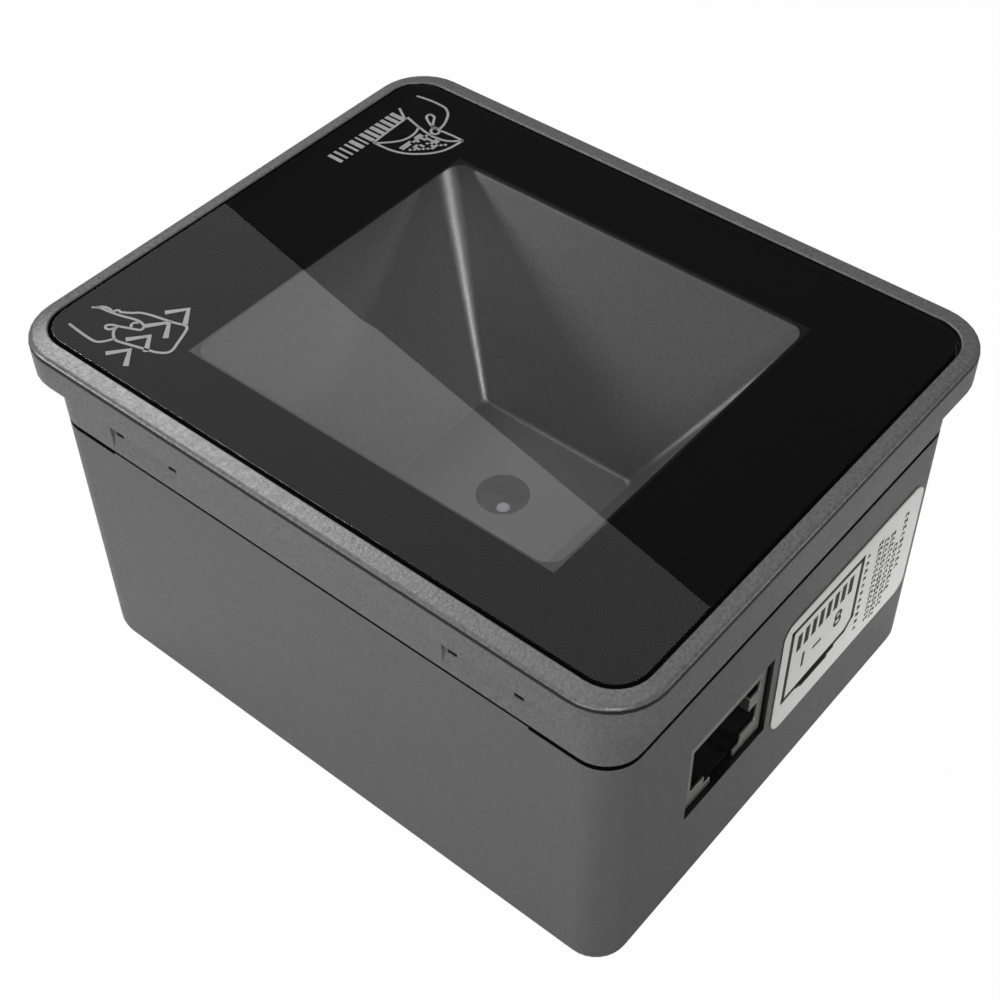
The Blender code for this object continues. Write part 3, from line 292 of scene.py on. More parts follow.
def clear_finish(name, clear, ior, roughness):
    """See-through material: light goes straight through it, and its front mirrors more at a slant."""
    made = bpy.data.materials.new(name)
    made.use_nodes = True
    tree = made.node_tree
    tree.nodes.remove(tree.nodes["Principled BSDF"])
    inside = add_node(tree, "ShaderNodeBsdfTransparent", inputs={"Color": (clear, clear, clear, 1.0)})
    gloss = add_node(tree, "ShaderNodeBsdfGlossy", inputs={"Roughness": roughness})
    fresnel = add_node(tree, "ShaderNodeFresnel", inputs={"IOR": ior}).outputs["Fac"]
    back = add_node(tree, "ShaderNodeNewGeometry").outputs["Backfacing"]
    front = add_node(tree, "ShaderNodeMath", {"operation": "SUBTRACT"}, {0: 1.0, 1: back}).outputs[0]
    share = add_node(tree, "ShaderNodeMath", {"operation": "MULTIPLY"}, {0: fresnel, 1: front}).outputs[0]
    inputs = {0: share, 1: inside.outputs[0], 2: gloss.outputs[0]}
    mixed = add_node(tree, "ShaderNodeMixShader", inputs=inputs)
    tree.links.new(mixed.outputs[0], tree.nodes["Material Output"].inputs["Surface"])
    return made, gloss, share, mixed


def cover_glass():
    """Float glass: clear, with polished faces that mirror the room and ground edges that stay dull."""
    made, gloss, share, mixed = clear_finish("clear float glass", GLASS_CLARITY, 1.5, 0.0)
    tree = made.node_tree
    normal = add_node(tree, "ShaderNodeNewGeometry").outputs["Normal"]
    upright = add_node(tree, "ShaderNodeSeparateXYZ", inputs={0: normal}).outputs["Z"]
    upright = add_node(tree, "ShaderNodeMath", {"operation": "ABSOLUTE"}, {0: upright}).outputs[0]
    ground = []
    for edge, face in ((0.6, 0.0), (0.05, 1.0)):
        inputs = {"Value": upright, "From Min": GROUND_RANGE[0], "From Max": GROUND_RANGE[1],
                  "To Min": edge, "To Max": face}
        ground.append(add_node(tree, "ShaderNodeMapRange", inputs=inputs).outputs["Result"])
    tree.links.new(ground[0], gloss.inputs["Roughness"])
    place = add_node(tree, "ShaderNodeTexCoord").outputs["Object"]
    place = add_node(tree, "ShaderNodeSeparateXYZ", inputs={0: place}).outputs
    tests = []
    for axis, half, shift in zip("XY", WINDOW_HALF, PAINTED_SHEEN_SHIFT):
        inputs = {0: place[axis], 1: shift * MM}
        moved = add_node(tree, "ShaderNodeMath", {"operation": "SUBTRACT"}, inputs)
        away = add_node(tree, "ShaderNodeMath", {"operation": "ABSOLUTE"}, {0: moved.outputs[0]})
        tests.append((away.outputs[0], "LESS_THAN", half * MM))
    # Partly painted reflection: over a window-sized patch set aside, the glass mirrors more strongly
    inputs = {0: where_all(tree, tests), 1: PAINTED_SHEEN_GAIN, 2: 1.0}
    gain = add_node(tree, "ShaderNodeMath", {"operation": "MULTIPLY_ADD"}, inputs).outputs[0]
    for factor in (ground[1], gain):
        share = add_node(tree, "ShaderNodeMath", {"operation": "MULTIPLY"}, {0: share, 1: factor}).outputs[0]
    tree.links.new(share, mixed.inputs[0])
    return made


def plain_finish(name, colours, roughness, grain, depth, metallic=0.0, **more):
    """A finish with slight colour variation and a fine bump at the grain's size in millimetres."""
    made, tree, shader = new_material(name, colours[0], roughness, metallic, **more)
    pattern = noise(tree, grain, 3.0)
    vary_colour(tree, shader, pattern, colours)
    raise_bump(tree, shader, pattern, depth)
    return made


def solder_mask():
    """Green solder mask over copper: glossy, with paler tracks 1.6 mm apart that show through."""
    made, tree, shader = new_material("green solder mask", "0f4a26", 0.3, IOR=1.52)
    place = add_node(tree, "ShaderNodeTexCoord").outputs["Object"]
    settings = {"distance": "MANHATTAN", "feature": "F1"}
    tracks = add_node(tree, "ShaderNodeTexVoronoi", settings, {"Vector": place, "Scale": 1 / (1.6 * MM)})
    inputs = {"Value": tracks.outputs["Distance"], "From Min": 0.42, "From Max": 0.5}
    edge = add_node(tree, "ShaderNodeMapRange", inputs=inputs).outputs["Result"]
    ramp = add_node(tree, "ShaderNodeValToRGB", inputs={"Fac": edge})
    for stop, code in zip(ramp.color_ramp.elements, ("0d4222", "1c6b3a")):
        stop.color = linear(code)
    tree.links.new(ramp.outputs["Color"], shader.inputs["Base Color"])
    raise_bump(tree, shader, edge, 0.03)
    return made


def rounded_outline(half, radius, centre=(0.0, 0.0), segments=12):
    """Points of a rectangle with round corners, counter-clockwise."""
    points = []
    for sign_x, sign_y, start in ((1, 1, 0), (-1, 1, 90), (-1, -1, 180), (1, -1, 270)):
        for step in range(segments + 1):
            angle = math.radians(start + 90 * step / segments)
            points.append((centre[0] + sign_x * (half[0] - radius) + radius * math.cos(angle),
                           centre[1] + sign_y * (half[1] - radius) + radius * math.sin(angle)))
    return points


def link_object(name, data):
    """An object of the scene with its mesh, text, lamp or camera."""
    made = bpy.data.objects.new(name, data)
    bpy.context.scene.collection.objects.link(made)
    return made


def add_piece(name, body, material):
    """A piece of the object from a bmesh in millimetres."""
    mesh = bpy.data.meshes.new(name)
    bmesh.ops.recalc_face_normals(body, faces=body.faces)
    bmesh.ops.scale(body, vec=(MM, MM, MM), verts=body.verts)
    body.to_mesh(mesh)
    body.free()
    mesh.materials.append(material)
    return link_object(name, mesh)


def evaluated_mesh(piece):
    """A plain mesh of what the piece's modifiers or its text make."""
    return bpy.data.meshes.new_from_object(piece.evaluated_get(bpy.context.evaluated_depsgraph_get()))


def settle(piece):
    """Turn what the modifiers make into the piece's own mesh."""
    made = evaluated_mesh(piece)
    old = piece.data
    piece.modifiers.clear()
    piece.data = made
    bpy.data.meshes.remove(old)


def dress(node, material, edge=0.12):
    """A smooth copy of a CAD node with softened edges, which stands for the node."""
    body = bmesh.new()
    body.from_mesh(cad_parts[node].data)
    bmesh.ops.remove_doubles(body, verts=body.verts, dist=MERGE_DISTANCE)
    bmesh.ops.dissolve_limit(body, angle_limit=FLAT_ANGLE, verts=body.verts, edges=body.edges)
    mesh = bpy.data.meshes.new(node + "_finish")
    body.to_mesh(mesh)
    body.free()
    mesh.materials.clear()
    mesh.materials.append(material)
    mesh.shade_smooth()
    piece = link_object(node + "_finish", mesh)
    if edge:
        soften = piece.modifiers.new("edges", "BEVEL")
        soften.width = edge * MM
        soften.segments = EDGE_STEPS
        soften.limit_method = "ANGLE"
        soften.angle_limit = EDGE_ANGLE
        soften.use_clamp_overlap = True
        soften.miter_outer = "MITER_ARC"
    weigh = piece.modifiers.new("normals", "WEIGHTED_NORMAL")
    weigh.mode = "FACE_AREA"
    weigh.weight = FACE_WEIGHT
    settle(piece)
    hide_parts(node)
    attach(piece, "root")


def plate_between(outer, inner, low, high):
    """A flat ring between two outlines with equally many points."""
    body = bmesh.new()
    rows = [[body.verts.new((x, y, z)) for x, y in loop]
            for loop, z in ((outer, low), (outer, high), (inner, high), (inner, low))]
    count = len(outer)
    for row, after in zip(rows, rows[1:] + rows[:1]):
        for index in range(count):
            nxt = (index + 1) % count
            body.faces.new((row[index], row[nxt], after[nxt], after[index]))
    return body


def smooth_path(points):
    """A Catmull-Rom curve through the points, in five steps from one to the next."""
    points = [points[0]] + list(points) + [points[-1]]
    steps = 5
    path = []
    for before, start, end, after in zip(points, points[1:], points[2:], points[3:]):
        for step in range(steps):
            t = step / steps
            path.append(tuple(0.5 * (2 * b + (c - a) * t + (2 * a - 5 * b + 4 * c - d) * t * t
                                     + (3 * b - a - 3 * c + d) * t * t * t)
                              for a, b, c, d in zip(before, start, end, after)))
    path.append(tuple(points[-2]))
    return path


def add_stroke(body, path, width, low, high, to_place):
    """A flat ribbon along a path, with square ends."""
    sides = ([], [])
    for index, point in enumerate(path):
        before = path[max(index - 1, 0)]
        after = path[min(index + 1, len(path) - 1)]
        run = (after[0] - before[0], after[1] - before[1])
        length = math.hypot(*run) or 1.0
        offset = (-run[1] / length * width / 2, run[0] / length * width / 2)
        sides[0].append((point[0] + offset[0], point[1] + offset[1]))
        sides[1].append((point[0] - offset[0], point[1] - offset[1]))
    add_slab(body, sides[0] + sides[1][::-1], low, high, to_place, strip=len(path))


def add_slab(body, outline, low, high, to_place, strip=0):
    """A thin slab of an outline, faced as a strip of quads when the outline is a ribbon."""
    rows = [[body.verts.new(to_place(u, v, w)) for u, v in outline] for w in (low, high)]
    count = len(outline)
    for index in range(count):
        nxt = (index + 1) % count
        body.faces.new((rows[0][index], rows[0][nxt], rows[1][nxt], rows[1][index]))
    for row in rows:
        if strip:
            for index in range(strip - 1):
                body.faces.new((row[index], row[index + 1], row[count - 2 - index], row[count - 1 - index]))
        else:
            body.faces.new(row)


def on_glass(u, v, w):
    """The place of a print on the glass, seen from above."""
    return (u, v, w)


def on_label(u, v, w):
    """The place of a print on the label, seen from the +X side."""
    return (w, u, v)


# Strokes on the glass, each a curve through points seen from above: one pictogram is a hand that holds out a
# rolled sheet with a code, the other a hand that holds a card
SHEET_STROKES = (
    ((-33.2, 17.2), (-30.9, 17.3), (-29.1, 17.8), (-27.6, 18.8), (-26.4, 20.1), (-25.7, 21.6), (-25.4, 23.9)),
    ((-33.2, 17.2), (-33.4, 20.2), (-33.5, 23.2)),
    ((-33.4, 22.9), (-34.7, 23.7), (-35.5, 24.2)),
    ((-33.5, 23.4), (-31.7, 22.9), (-29.9, 22.5), (-29.0, 22.4)),
    ((-28.7, 23.8), (-26.9, 23.9), (-25.4, 23.9)),
    ((-31.2, 22.8), (-30.7, 21.5), (-30.8, 19.9), (-31.6, 18.6), (-33.0, 17.2)),
    ((-28.9, 22.3), (-27.1, 22.6), (-26.1, 23.2), (-25.4, 23.9)),
    ((-29.5, 23.8), (-28.8, 23.7), (-28.6, 23.2), (-28.8, 22.8), (-29.4, 22.9), (-29.7, 23.4), (-29.5, 23.8)),
    ((-29.2, 23.9), (-30.2, 23.9), (-31.4, 24.5), (-31.9, 25.0), (-31.8, 25.5), (-31.1, 25.4), (-30.6, 24.7),
     (-30.1, 24.0), (-29.7, 23.5)),
    ((-35.6, 27.4), (-33.7, 27.7), (-31.7, 27.7), (-30.9, 27.4), (-30.1, 26.7), (-29.3, 25.2), (-29.0, 23.9)),
)
CARD_STROKES = (
    ((-36.3, -22.7), (-35.4, -22.2), (-34.2, -22.0), (-32.9, -21.7), (-31.7, -21.3), (-30.8, -21.1),
     (-30.0, -21.2), (-29.7, -21.4), (-29.6, -21.9), (-30.1, -22.2), (-31.0, -22.6), (-31.9, -23.0),
     (-32.6, -23.3), (-32.9, -23.7), (-32.6, -24.0), (-32.2, -23.9), (-31.9, -23.4)),
    ((-35.9, -22.4), (-35.4, -21.9), (-34.7, -21.7), (-34.1, -21.8), (-33.8, -21.3), (-33.3, -21.3),
     (-32.8, -21.0), (-32.2, -20.6), (-31.8, -20.2), (-30.9, -19.8), (-29.8, -19.5)),
    ((-30.7, -22.3), (-31.0, -21.9), (-30.9, -21.5), (-30.6, -21.3)),
    ((-31.9, -23.1), (-31.7, -23.7), (-31.1, -24.3), (-30.4, -24.6), (-29.5, -24.4)),
    ((-36.1, -25.9), (-34.9, -26.0), (-33.1, -26.1), (-31.8, -26.0), (-31.1, -25.3), (-30.7, -24.5)),
    ((-29.5, -24.4), (-28.2, -24.0), (-26.9, -23.6), (-25.9, -23.3), (-25.0, -22.7), (-24.8, -22.0),
     (-25.2, -20.9), (-25.7, -19.6), (-26.1, -18.8), (-26.6, -18.6), (-27.8, -19.0), (-29.8, -19.5)),
)

# Plain arrow marks beside the card pictogram: places of their tips, depth, height and line width
ARROW_TIPS = (-24.7, -22.0, -19.3, -16.6)
ARROW_MIDDLE = -28.2
ARROW_DEPTH = 1.9
ARROW_HEIGHT = 3.0
ARROW_STROKE = 0.6


def make_glass(materials):
    """Cover glass, its printed border and its pictograms."""
    dress("window_glass", materials["glass"], edge=0.0)
    half = [size - BORDER_INSET for size in GLASS_HALF]
    outer = rounded_outline(half, GLASS_RADIUS - BORDER_INSET)
    inner = rounded_outline(WINDOW_HALF, WINDOW_RADIUS)
    plate = plate_between(outer, inner, BORDER_TOP - BORDER_THICKNESS, BORDER_TOP)
    border = add_piece("border_print", plate, materials["ink"])
    body = bmesh.new()
    for points in SHEET_STROKES + CARD_STROKES:
        add_stroke(body, smooth_path(points), STROKE, PICTURE_LOW, PICTURE_HIGH, on_glass)
    low, high = ARROW_MIDDLE - ARROW_HEIGHT / 2, ARROW_MIDDLE + ARROW_HEIGHT / 2
    for tip in ARROW_TIPS:
        ends = ((low, tip - ARROW_DEPTH), (ARROW_MIDDLE, tip), (high, tip - ARROW_DEPTH))
        add_stroke(body, ends, ARROW_STROKE, PICTURE_LOW, PICTURE_HIGH, on_glass)
    picture = add_piece("border_pictograms", body, materials["pale_ink"])
    for piece in (border, picture):
        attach(piece, "root")


# Drawing of the socket's face on the label, in y and z: its outline and line width, and three lines with
# their start, end and width
SOCKET_FACE = ((-0.1, 27.1), (13.2, 26.8), (13.2, 17.4), (11.9, 16.2), (-0.1, 16.0), (-0.1, 27.1))
SOCKET_STROKE = 0.6
SOCKET_LINES = (
    ((2.6, 15.8), (9.9, 15.8), 0.8),
    ((3.4, 15.3), (8.6, 15.3), 0.7),
    ((4.8, 20.2), (6.4, 20.2), 0.4),
)

# The drawing's pins: how many, their pitch, size and first place
PIN_COUNT = 8
PIN_PITCH = 1.4
PIN_SIZE = (0.8, 2.6)
PIN_FIRST = (1.5, 24.3)

# Digits of the first and last pin, their height, the font size for one of height, their depth and boldness
DIGITS = (("1", (2.9, 20.1)), ("8", (9.6, 20.4)))
DIGIT_HEIGHT = 2.4
FONT_SHARE = 1.4
DIGIT_DEPTH = 0.012
DIGIT_WEIGHT = 0.03

# Rows of small marks on the label: place of the lowest mark, how many, their pitch and their width
LABEL_ROWS = (
    (14.4, 14.3, 11, 1.18, 0.55),
    (16.9, 13.6, 15, 0.88, 1.0),
    (18.2, 13.0, 15, 0.88, 1.1),
    (19.6, 13.6, 14, 0.88, 1.1),
    (20.9, 15.2, 9, 0.88, 0.9),
    (22.2, 17.8, 9, 1.02, 0.8),
)
MARK_SHARES = (0.45, 0.45)


def make_label(materials):
    """Film label with a drawing of the socket's face, its eight numbered pins and rows of small marks."""
    half = [(high - low) / 2 for low, high in zip(LABEL_LOW, LABEL_HIGH)]
    centre = [(high + low) / 2 for low, high in zip(LABEL_LOW, LABEL_HIGH)]
    body = bmesh.new()
    add_slab(body, rounded_outline(half, LABEL_RADIUS, centre), LABEL_BACK, LABEL_FACE, on_label)
    label = add_piece("label_film", body, materials["film"])
    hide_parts("port_label")
    ink = materials["label_ink"]
    body = bmesh.new()
    low, high = LABEL_FACE + INK_START, LABEL_FACE + INK_RISE
    for start, end in zip(SOCKET_FACE, SOCKET_FACE[1:]):
        ends = stretch_ends(start, end, SOCKET_STROKE / 2)
        add_stroke(body, ends, SOCKET_STROKE, low, high, on_label)
    for start, end, width in SOCKET_LINES:
        add_stroke(body, (start, end), width, low, high, on_label)
    lines = add_piece("label_drawing", body, ink)
    digits = [add_digit(text, place, ink) for text, place in DIGITS]
    step = (PIN_PITCH, 0.0)
    pins = repeat_bars("label_pins", ink, PIN_COUNT, step, PIN_SIZE, (0.0, 0.0), 0, label_place(*PIN_FIRST))
    rows = []
    for number, (y, z, count, pitch, width) in enumerate(LABEL_ROWS):
        # Each mark is a bar across, a bar along and a spot, with its shift, size and most turn
        for kind, shift, size, turn in (("across", (0.0, 0.12), (width, 0.24), 0.35),
                                        ("along", (-0.28 * width, 0.0), (0.26, 0.7), 0.5),
                                        ("spot", (0.32 * width, -0.15), (0.34, 0.36), 0.8)):
            name = f"label_marks_{number}_{kind}"
            place = label_place(y + shift[0], z + shift[1])
            rows.append(repeat_bars(name, ink, count, (0.0, pitch), size, MARK_SHARES, number, place, turn))
    for piece in [label, lines, pins] + digits + rows:
        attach(piece, "root")


def stretch_ends(start, end, more):
    """The two ends of a line, moved apart so that corners close."""
    run = Vector(end) - Vector(start)
    run.normalize()
    return (tuple(Vector(start) - run * more), tuple(Vector(end) + run * more))


def add_digit(text, place, material):
    """A plain digit on the label."""
    curve = bpy.data.curves.new("digit", "FONT")
    curve.body = text
    curve.size = DIGIT_HEIGHT * FONT_SHARE * MM
    curve.extrude = DIGIT_DEPTH * MM
    curve.offset = DIGIT_WEIGHT * MM
    curve.align_x = "CENTER"
    curve.align_y = "CENTER"
    carrier = link_object("digit", curve)
    mesh = evaluated_mesh(carrier)
    bpy.data.objects.remove(carrier, do_unlink=True)
    mesh.transform(label_place(*place))
    mesh.materials.clear()
    mesh.materials.append(material)
    return link_object("label_digit_" + text, mesh)


def label_place(y, z):
    """Turns what is drawn in a plane so that it lies on the label, with its start at y and z."""
    across = (LABEL_FACE + INK_MIDDLE) * MM
    return Matrix(((0, 0, 1, across), (1, 0, 0, y * MM), (0, 1, 0, z * MM), (0, 0, 0, 1)))


def start_tree(name, kinds):
    """A Geometry Nodes tree with named inputs of the kinds given, and the outputs that carry them."""
    tree = bpy.data.node_groups.new(name, "GeometryNodeTree")
    for label, kind in kinds.items():
        tree.interface.new_socket(label, in_out="INPUT", socket_type="NodeSocket" + kind)
    tree.interface.new_socket("Geometry", in_out="OUTPUT", socket_type="NodeSocketGeometry")
    return tree, add_node(tree, "NodeGroupInput").outputs


def make_copies(name, tree, spots, material, values):
    """A piece from the tree's instances, made real and painted, with the tree's inputs set to the values."""
    solid = add_node(tree, "GeometryNodeRealizeInstances", inputs={0: spots.outputs[0]})
    inputs = {"Geometry": solid.outputs[0], "Material": material}
    paint = add_node(tree, "GeometryNodeSetMaterial", inputs=inputs)
    add_node(tree, "NodeGroupOutput", inputs={0: paint.outputs[0]})
    piece = link_object(name, bpy.data.meshes.new(name))
    copies = piece.modifiers.new("copies", "NODES")
    copies.node_group = tree
    for socket in tree.interface.items_tree:
        if socket.in_out == "INPUT":
            copies[socket.identifier] = values[socket.name]
    settle(piece)
    return piece


# Inputs of the tree for a row of bars, and the bars' thickness
BAR_INPUTS = {
    "Count": "Int", "Step": "Vector", "Bar Size": "Vector", "Least Scale": "Vector",
    "Least Turn": "Vector", "Most Turn": "Vector", "Seed": "Int",
}
BAR_THICKNESS = 0.02


def repeat_bars(name, material, count, step, size, shares, seed, place, turn=0.0):
    """A row of small printed bars, made by Geometry Nodes in its own plane and then put on the object.

    Step and size are across and along the plane. Shares say how much of each may be taken off at random,
    and turn how far a bar may be turned either way, in radians.
    """
    tree, given = start_tree(name, BAR_INPUTS)
    inputs = {"Count": given["Count"], "Offset": given["Step"]}
    line = add_node(tree, "GeometryNodeMeshLine", {"mode": "OFFSET"}, inputs)
    bar = add_node(tree, "GeometryNodeMeshCube", inputs={"Size": given["Bar Size"]})
    scale, turned = (add_node(tree, "FunctionNodeRandomValue", {"data_type": "FLOAT_VECTOR"},
                              {0: least, 1: most, "Seed": given["Seed"]})
                     for least, most in ((given["Least Scale"], (1.0, 1.0, 1.0)),
                                         (given["Least Turn"], given["Most Turn"])))
    inputs = {"Points": line.outputs[0], "Instance": bar.outputs[0], "Scale": scale.outputs[0],
              "Rotation": turned.outputs[0]}
    spots = add_node(tree, "GeometryNodeInstanceOnPoints", inputs=inputs)
    values = {"Count": count, "Step": (step[0] * MM, step[1] * MM, 0.0),
              "Bar Size": (size[0] * MM, size[1] * MM, BAR_THICKNESS * MM),
              "Least Scale": (1 - shares[0], 1 - shares[1], 1.0),
              "Least Turn": (0.0, 0.0, -turn), "Most Turn": (0.0, 0.0, turn), "Seed": seed}
    piece = make_copies(name, tree, spots, material, values)
    piece.data.transform(place)
    return piece


# Code on the pictured sheet: module, modules each way, middle of the grid, the round end that trims it, its
# left and upper edge, the share of filled modules, the seed, a module's thickness as a share of its width,
# and the inputs of its tree
MODULE = 0.34
MODULES = 17
CODE_MIDDLE = (-28.6, 20.2)
CODE_TRIM = (-33.1, 24.9)
CODE_TRIM_RADIUS = 7.5
CODE_EDGE = -30.4
CODE_TOP = 22.1
CODE_FILLED = 0.55
CODE_SEED = 3
MODULE_FLATNESS = 0.04
CODE_INPUTS = {
    "Modules": "Int", "Module": "Float", "Filled": "Float", "Seed": "Int", "Middle": "Vector",
    "Trim Centre": "Vector", "Trim Radius": "Float", "Least X": "Float", "Most Y": "Float",
}

# Plain bars beside the code pictogram: how many, first bar, pitch, size, how much sizes vary, and the seed
CODE_BARS = 13
CODE_BAR_FIRST = (-34.5, 12.2)
CODE_BAR_PITCH = 0.88
CODE_BAR_SIZE = (2.1, 0.62)
CODE_BAR_SHARES = (0.0, 0.65)
CODE_BAR_SEED = 5


def at_picture_level(point):
    """A point of the pictures on the glass, in metres."""
    return (point[0] * MM, point[1] * MM, PICTURE_LEVEL * MM)


def make_code(materials):
    """The square modules of the pictured code, made by Geometry Nodes and kept inside the sheet's outline."""
    tree, given = start_tree("border_code", CODE_INPUTS)
    inputs = {0: given["Modules"], 1: given["Module"]}
    side = add_node(tree, "ShaderNodeMath", {"operation": "MULTIPLY"}, inputs).outputs[0]
    inputs = {"Size X": side, "Size Y": side, "Vertices X": given["Modules"], "Vertices Y": given["Modules"]}
    grid = add_node(tree, "GeometryNodeMeshGrid", inputs=inputs)
    inputs = {"Geometry": grid.outputs[0], "Translation": given["Middle"]}
    laid = add_node(tree, "GeometryNodeTransform", inputs=inputs)
    inputs = {0: given["Module"], 1: MODULE_FLATNESS}
    flat = add_node(tree, "ShaderNodeMath", {"operation": "MULTIPLY"}, inputs)
    inputs = {"X": given["Module"], "Y": given["Module"], "Z": flat.outputs[0]}
    size = add_node(tree, "ShaderNodeCombineXYZ", inputs=inputs)
    square = add_node(tree, "GeometryNodeMeshCube", inputs={"Size": size.outputs[0]})
    where = add_node(tree, "GeometryNodeInputPosition").outputs[0]
    axes = add_node(tree, "ShaderNodeSeparateXYZ", inputs={0: where}).outputs
    inputs = {0: where, 1: given["Trim Centre"]}
    reach = add_node(tree, "ShaderNodeVectorMath", {"operation": "DISTANCE"}, inputs).outputs["Value"]
    inputs = {"Probability": given["Filled"], "Seed": given["Seed"]}
    chosen = add_node(tree, "FunctionNodeRandomValue", {"data_type": "BOOLEAN"}, inputs).outputs[3]
    for low, high in ((reach, given["Trim Radius"]), (given["Least X"], axes["X"]),
                      (axes["Y"], given["Most Y"])):
        test = add_node(tree, "ShaderNodeMath", {"operation": "LESS_THAN"}, {0: low, 1: high})
        inputs = {0: chosen, 1: test.outputs[0]}
        chosen = add_node(tree, "FunctionNodeBooleanMath", {"operation": "AND"}, inputs).outputs[0]
    inputs = {"Points": laid.outputs[0], "Instance": square.outputs[0], "Selection": chosen}
    spots = add_node(tree, "GeometryNodeInstanceOnPoints", inputs=inputs)
    values = {"Modules": MODULES, "Module": MODULE * MM, "Filled": CODE_FILLED, "Seed": CODE_SEED,
              "Middle": at_picture_level(CODE_MIDDLE), "Trim Centre": at_picture_level(CODE_TRIM),
              "Trim Radius": CODE_TRIM_RADIUS * MM, "Least X": CODE_EDGE * MM, "Most Y": CODE_TOP * MM}
    code = make_copies("border_code", tree, spots, materials["pale_ink"], values)
    place = Matrix.Translation(at_picture_level(CODE_BAR_FIRST))
    bars = repeat_bars("border_bars", materials["pale_ink"], CODE_BARS, (0.0, CODE_BAR_PITCH), CODE_BAR_SIZE,
                       CODE_BAR_SHARES, CODE_BAR_SEED, place)
    for piece in (code, bars):
        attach(piece, "root")


# Floor: width and drop in metres, its own tone, its tone to the camera, and how much of white each ray sees
FLOOR_WIDTH = 8.0
FLOOR_DROP = -0.0002
FLOOR_TONE = "c8c8c8"
FLOOR_SEEN = "fafafa"
FLOOR_SHARES = (("Is Camera Ray", 0.98), ("Is Transmission Ray", 0.98), ("Is Glossy Ray", 0.05))

# Strength of the dark room, which is white to the camera and through the glass
ROOM_STRENGTH = 0.10
PAPER_WHITE = (1, 1, 1, 1)

# Soft lamps: place, aim, width and height in metres, and power
SOFTBOXES = (
    ("camera side lamp", (0.46, -0.46, 0.50), (0.0, 0.0, 0.03), (0.30, 0.30), 1.05),
    ("rim softbox", (-0.50, 0.15, 0.60), (0.0, 0.0, 0.03), (0.14, 0.36), 1.35),
    ("left rim softbox", (-0.80, 0.56, 0.50), (0.0, 0.0, 0.03), (0.30, 0.20), 0.10),
    ("front softbox", (0.10, -0.85, 0.25), (0.0, 0.0, 0.02), (0.5, 0.3), 2.1),
)

# Soft-edged spots: place, aim and radius in metres, cone in degrees, and power
SPOTS = (
    ("left spot", (-0.55, -0.45, 0.30), (-0.036, -0.026, 0.026), 0.075, 29.0, 7.6),
    ("right spot", (0.50, 0.34, 0.16), (0.037, 0.035, 0.010), 0.04, 17.0, 1.7),
    ("low right spot", (0.50, 0.34, 0.02), (0.037, 0.028, 0.002), 0.016, 7.2, 5.0),
    ("corner spot", (0.150, -0.137, 0.223), (-0.018, 0.015, 0.034), 0.036, 31.0, 1.1),
)


def make_floor():
    """Pale floor that reads white."""
    bpy.ops.mesh.primitive_plane_add(size=FLOOR_WIDTH, location=(0.0, 0.0, FLOOR_DROP))
    floor = bpy.context.object
    floor.name = "pale_floor"
    # Matt pale paper: reads white, with only a trace of the object's shadow
    made, tree, shader = new_material("pale floor", FLOOR_TONE, 0.9)
    rays = add_node(tree, "ShaderNodeLightPath").outputs
    seen = 0.0
    for kind, strength in FLOOR_SHARES:
        part = add_node(tree, "ShaderNodeMath", {"operation": "MULTIPLY"}, {0: rays[kind], 1: strength})
        inputs = {0: seen, 1: part.outputs[0]}
        seen = add_node(tree, "ShaderNodeMath", {"operation": "MAXIMUM"}, inputs).outputs[0]
    inputs = {0: rays["Is Camera Ray"], 6: linear(FLOOR_TONE), 7: linear(FLOOR_SEEN)}
    tone = add_node(tree, "ShaderNodeMix", {"data_type": "RGBA"}, inputs)
    tree.links.new(tone.outputs[2], shader.inputs["Base Color"])
    white = add_node(tree, "ShaderNodeEmission", inputs={"Color": PAPER_WHITE, "Strength": 1.0})
    inputs = {0: seen, 1: shader.outputs[0], 2: white.outputs[0]}
    mixed = add_node(tree, "ShaderNodeMixShader", inputs=inputs)
    tree.links.new(mixed.outputs[0], tree.nodes["Material Output"].inputs["Surface"])
    floor.data.materials.append(made)


def make_room():
    """World that lights the object faintly and reads white behind it."""
    world = bpy.data.worlds.new("studio")
    bpy.context.scene.world = world
    world.use_nodes = True
    tree = world.node_tree
    rays = add_node(tree, "ShaderNodeLightPath").outputs
    room = tree.nodes["Background"]
    room.inputs["Color"].default_value = PAPER_WHITE
    room.inputs["Strength"].default_value = ROOM_STRENGTH
    paper = add_node(tree, "ShaderNodeBackground", inputs={"Color": PAPER_WHITE, "Strength": 1.0})
    inputs = {0: rays["Is Camera Ray"], 1: rays["Is Transmission Ray"]}
    seen = add_node(tree, "ShaderNodeMath", {"operation": "MAXIMUM"}, inputs).outputs[0]
    inputs = {0: seen, 1: room.outputs[0], 2: paper.outputs[0]}
    mixed = add_node(tree, "ShaderNodeMixShader", inputs=inputs)
    tree.links.new(mixed.outputs[0], tree.nodes["World Output"].inputs["Surface"])


def make_lamps():
    """Soft lamps at a plain level."""
    for name, place, aim, size, power in SOFTBOXES:
        lamp = bpy.data.lights.new(name, "AREA")
        lamp.shape = "RECTANGLE"
        lamp.size, lamp.size_y = size
        hang_lamp(name, lamp, place, aim, power)
    for name, place, aim, radius, cone, power in SPOTS:
        lamp = bpy.data.lights.new(name, "SPOT")
        lamp.shadow_soft_size = radius
        lamp.spot_size = math.radians(cone)
        lamp.spot_blend = 1.0
        hang_lamp(name, lamp, place, aim, power)


def hang_lamp(name, lamp, place, aim, power):
    """Set the lamp at its place, turned to its aim."""
    lamp.energy = power
    carrier = link_object(name, lamp)
    carrier.location = place
    carrier.rotation_euler = (Vector(aim) - Vector(place)).to_track_quat("-Z", "Y").to_euler()


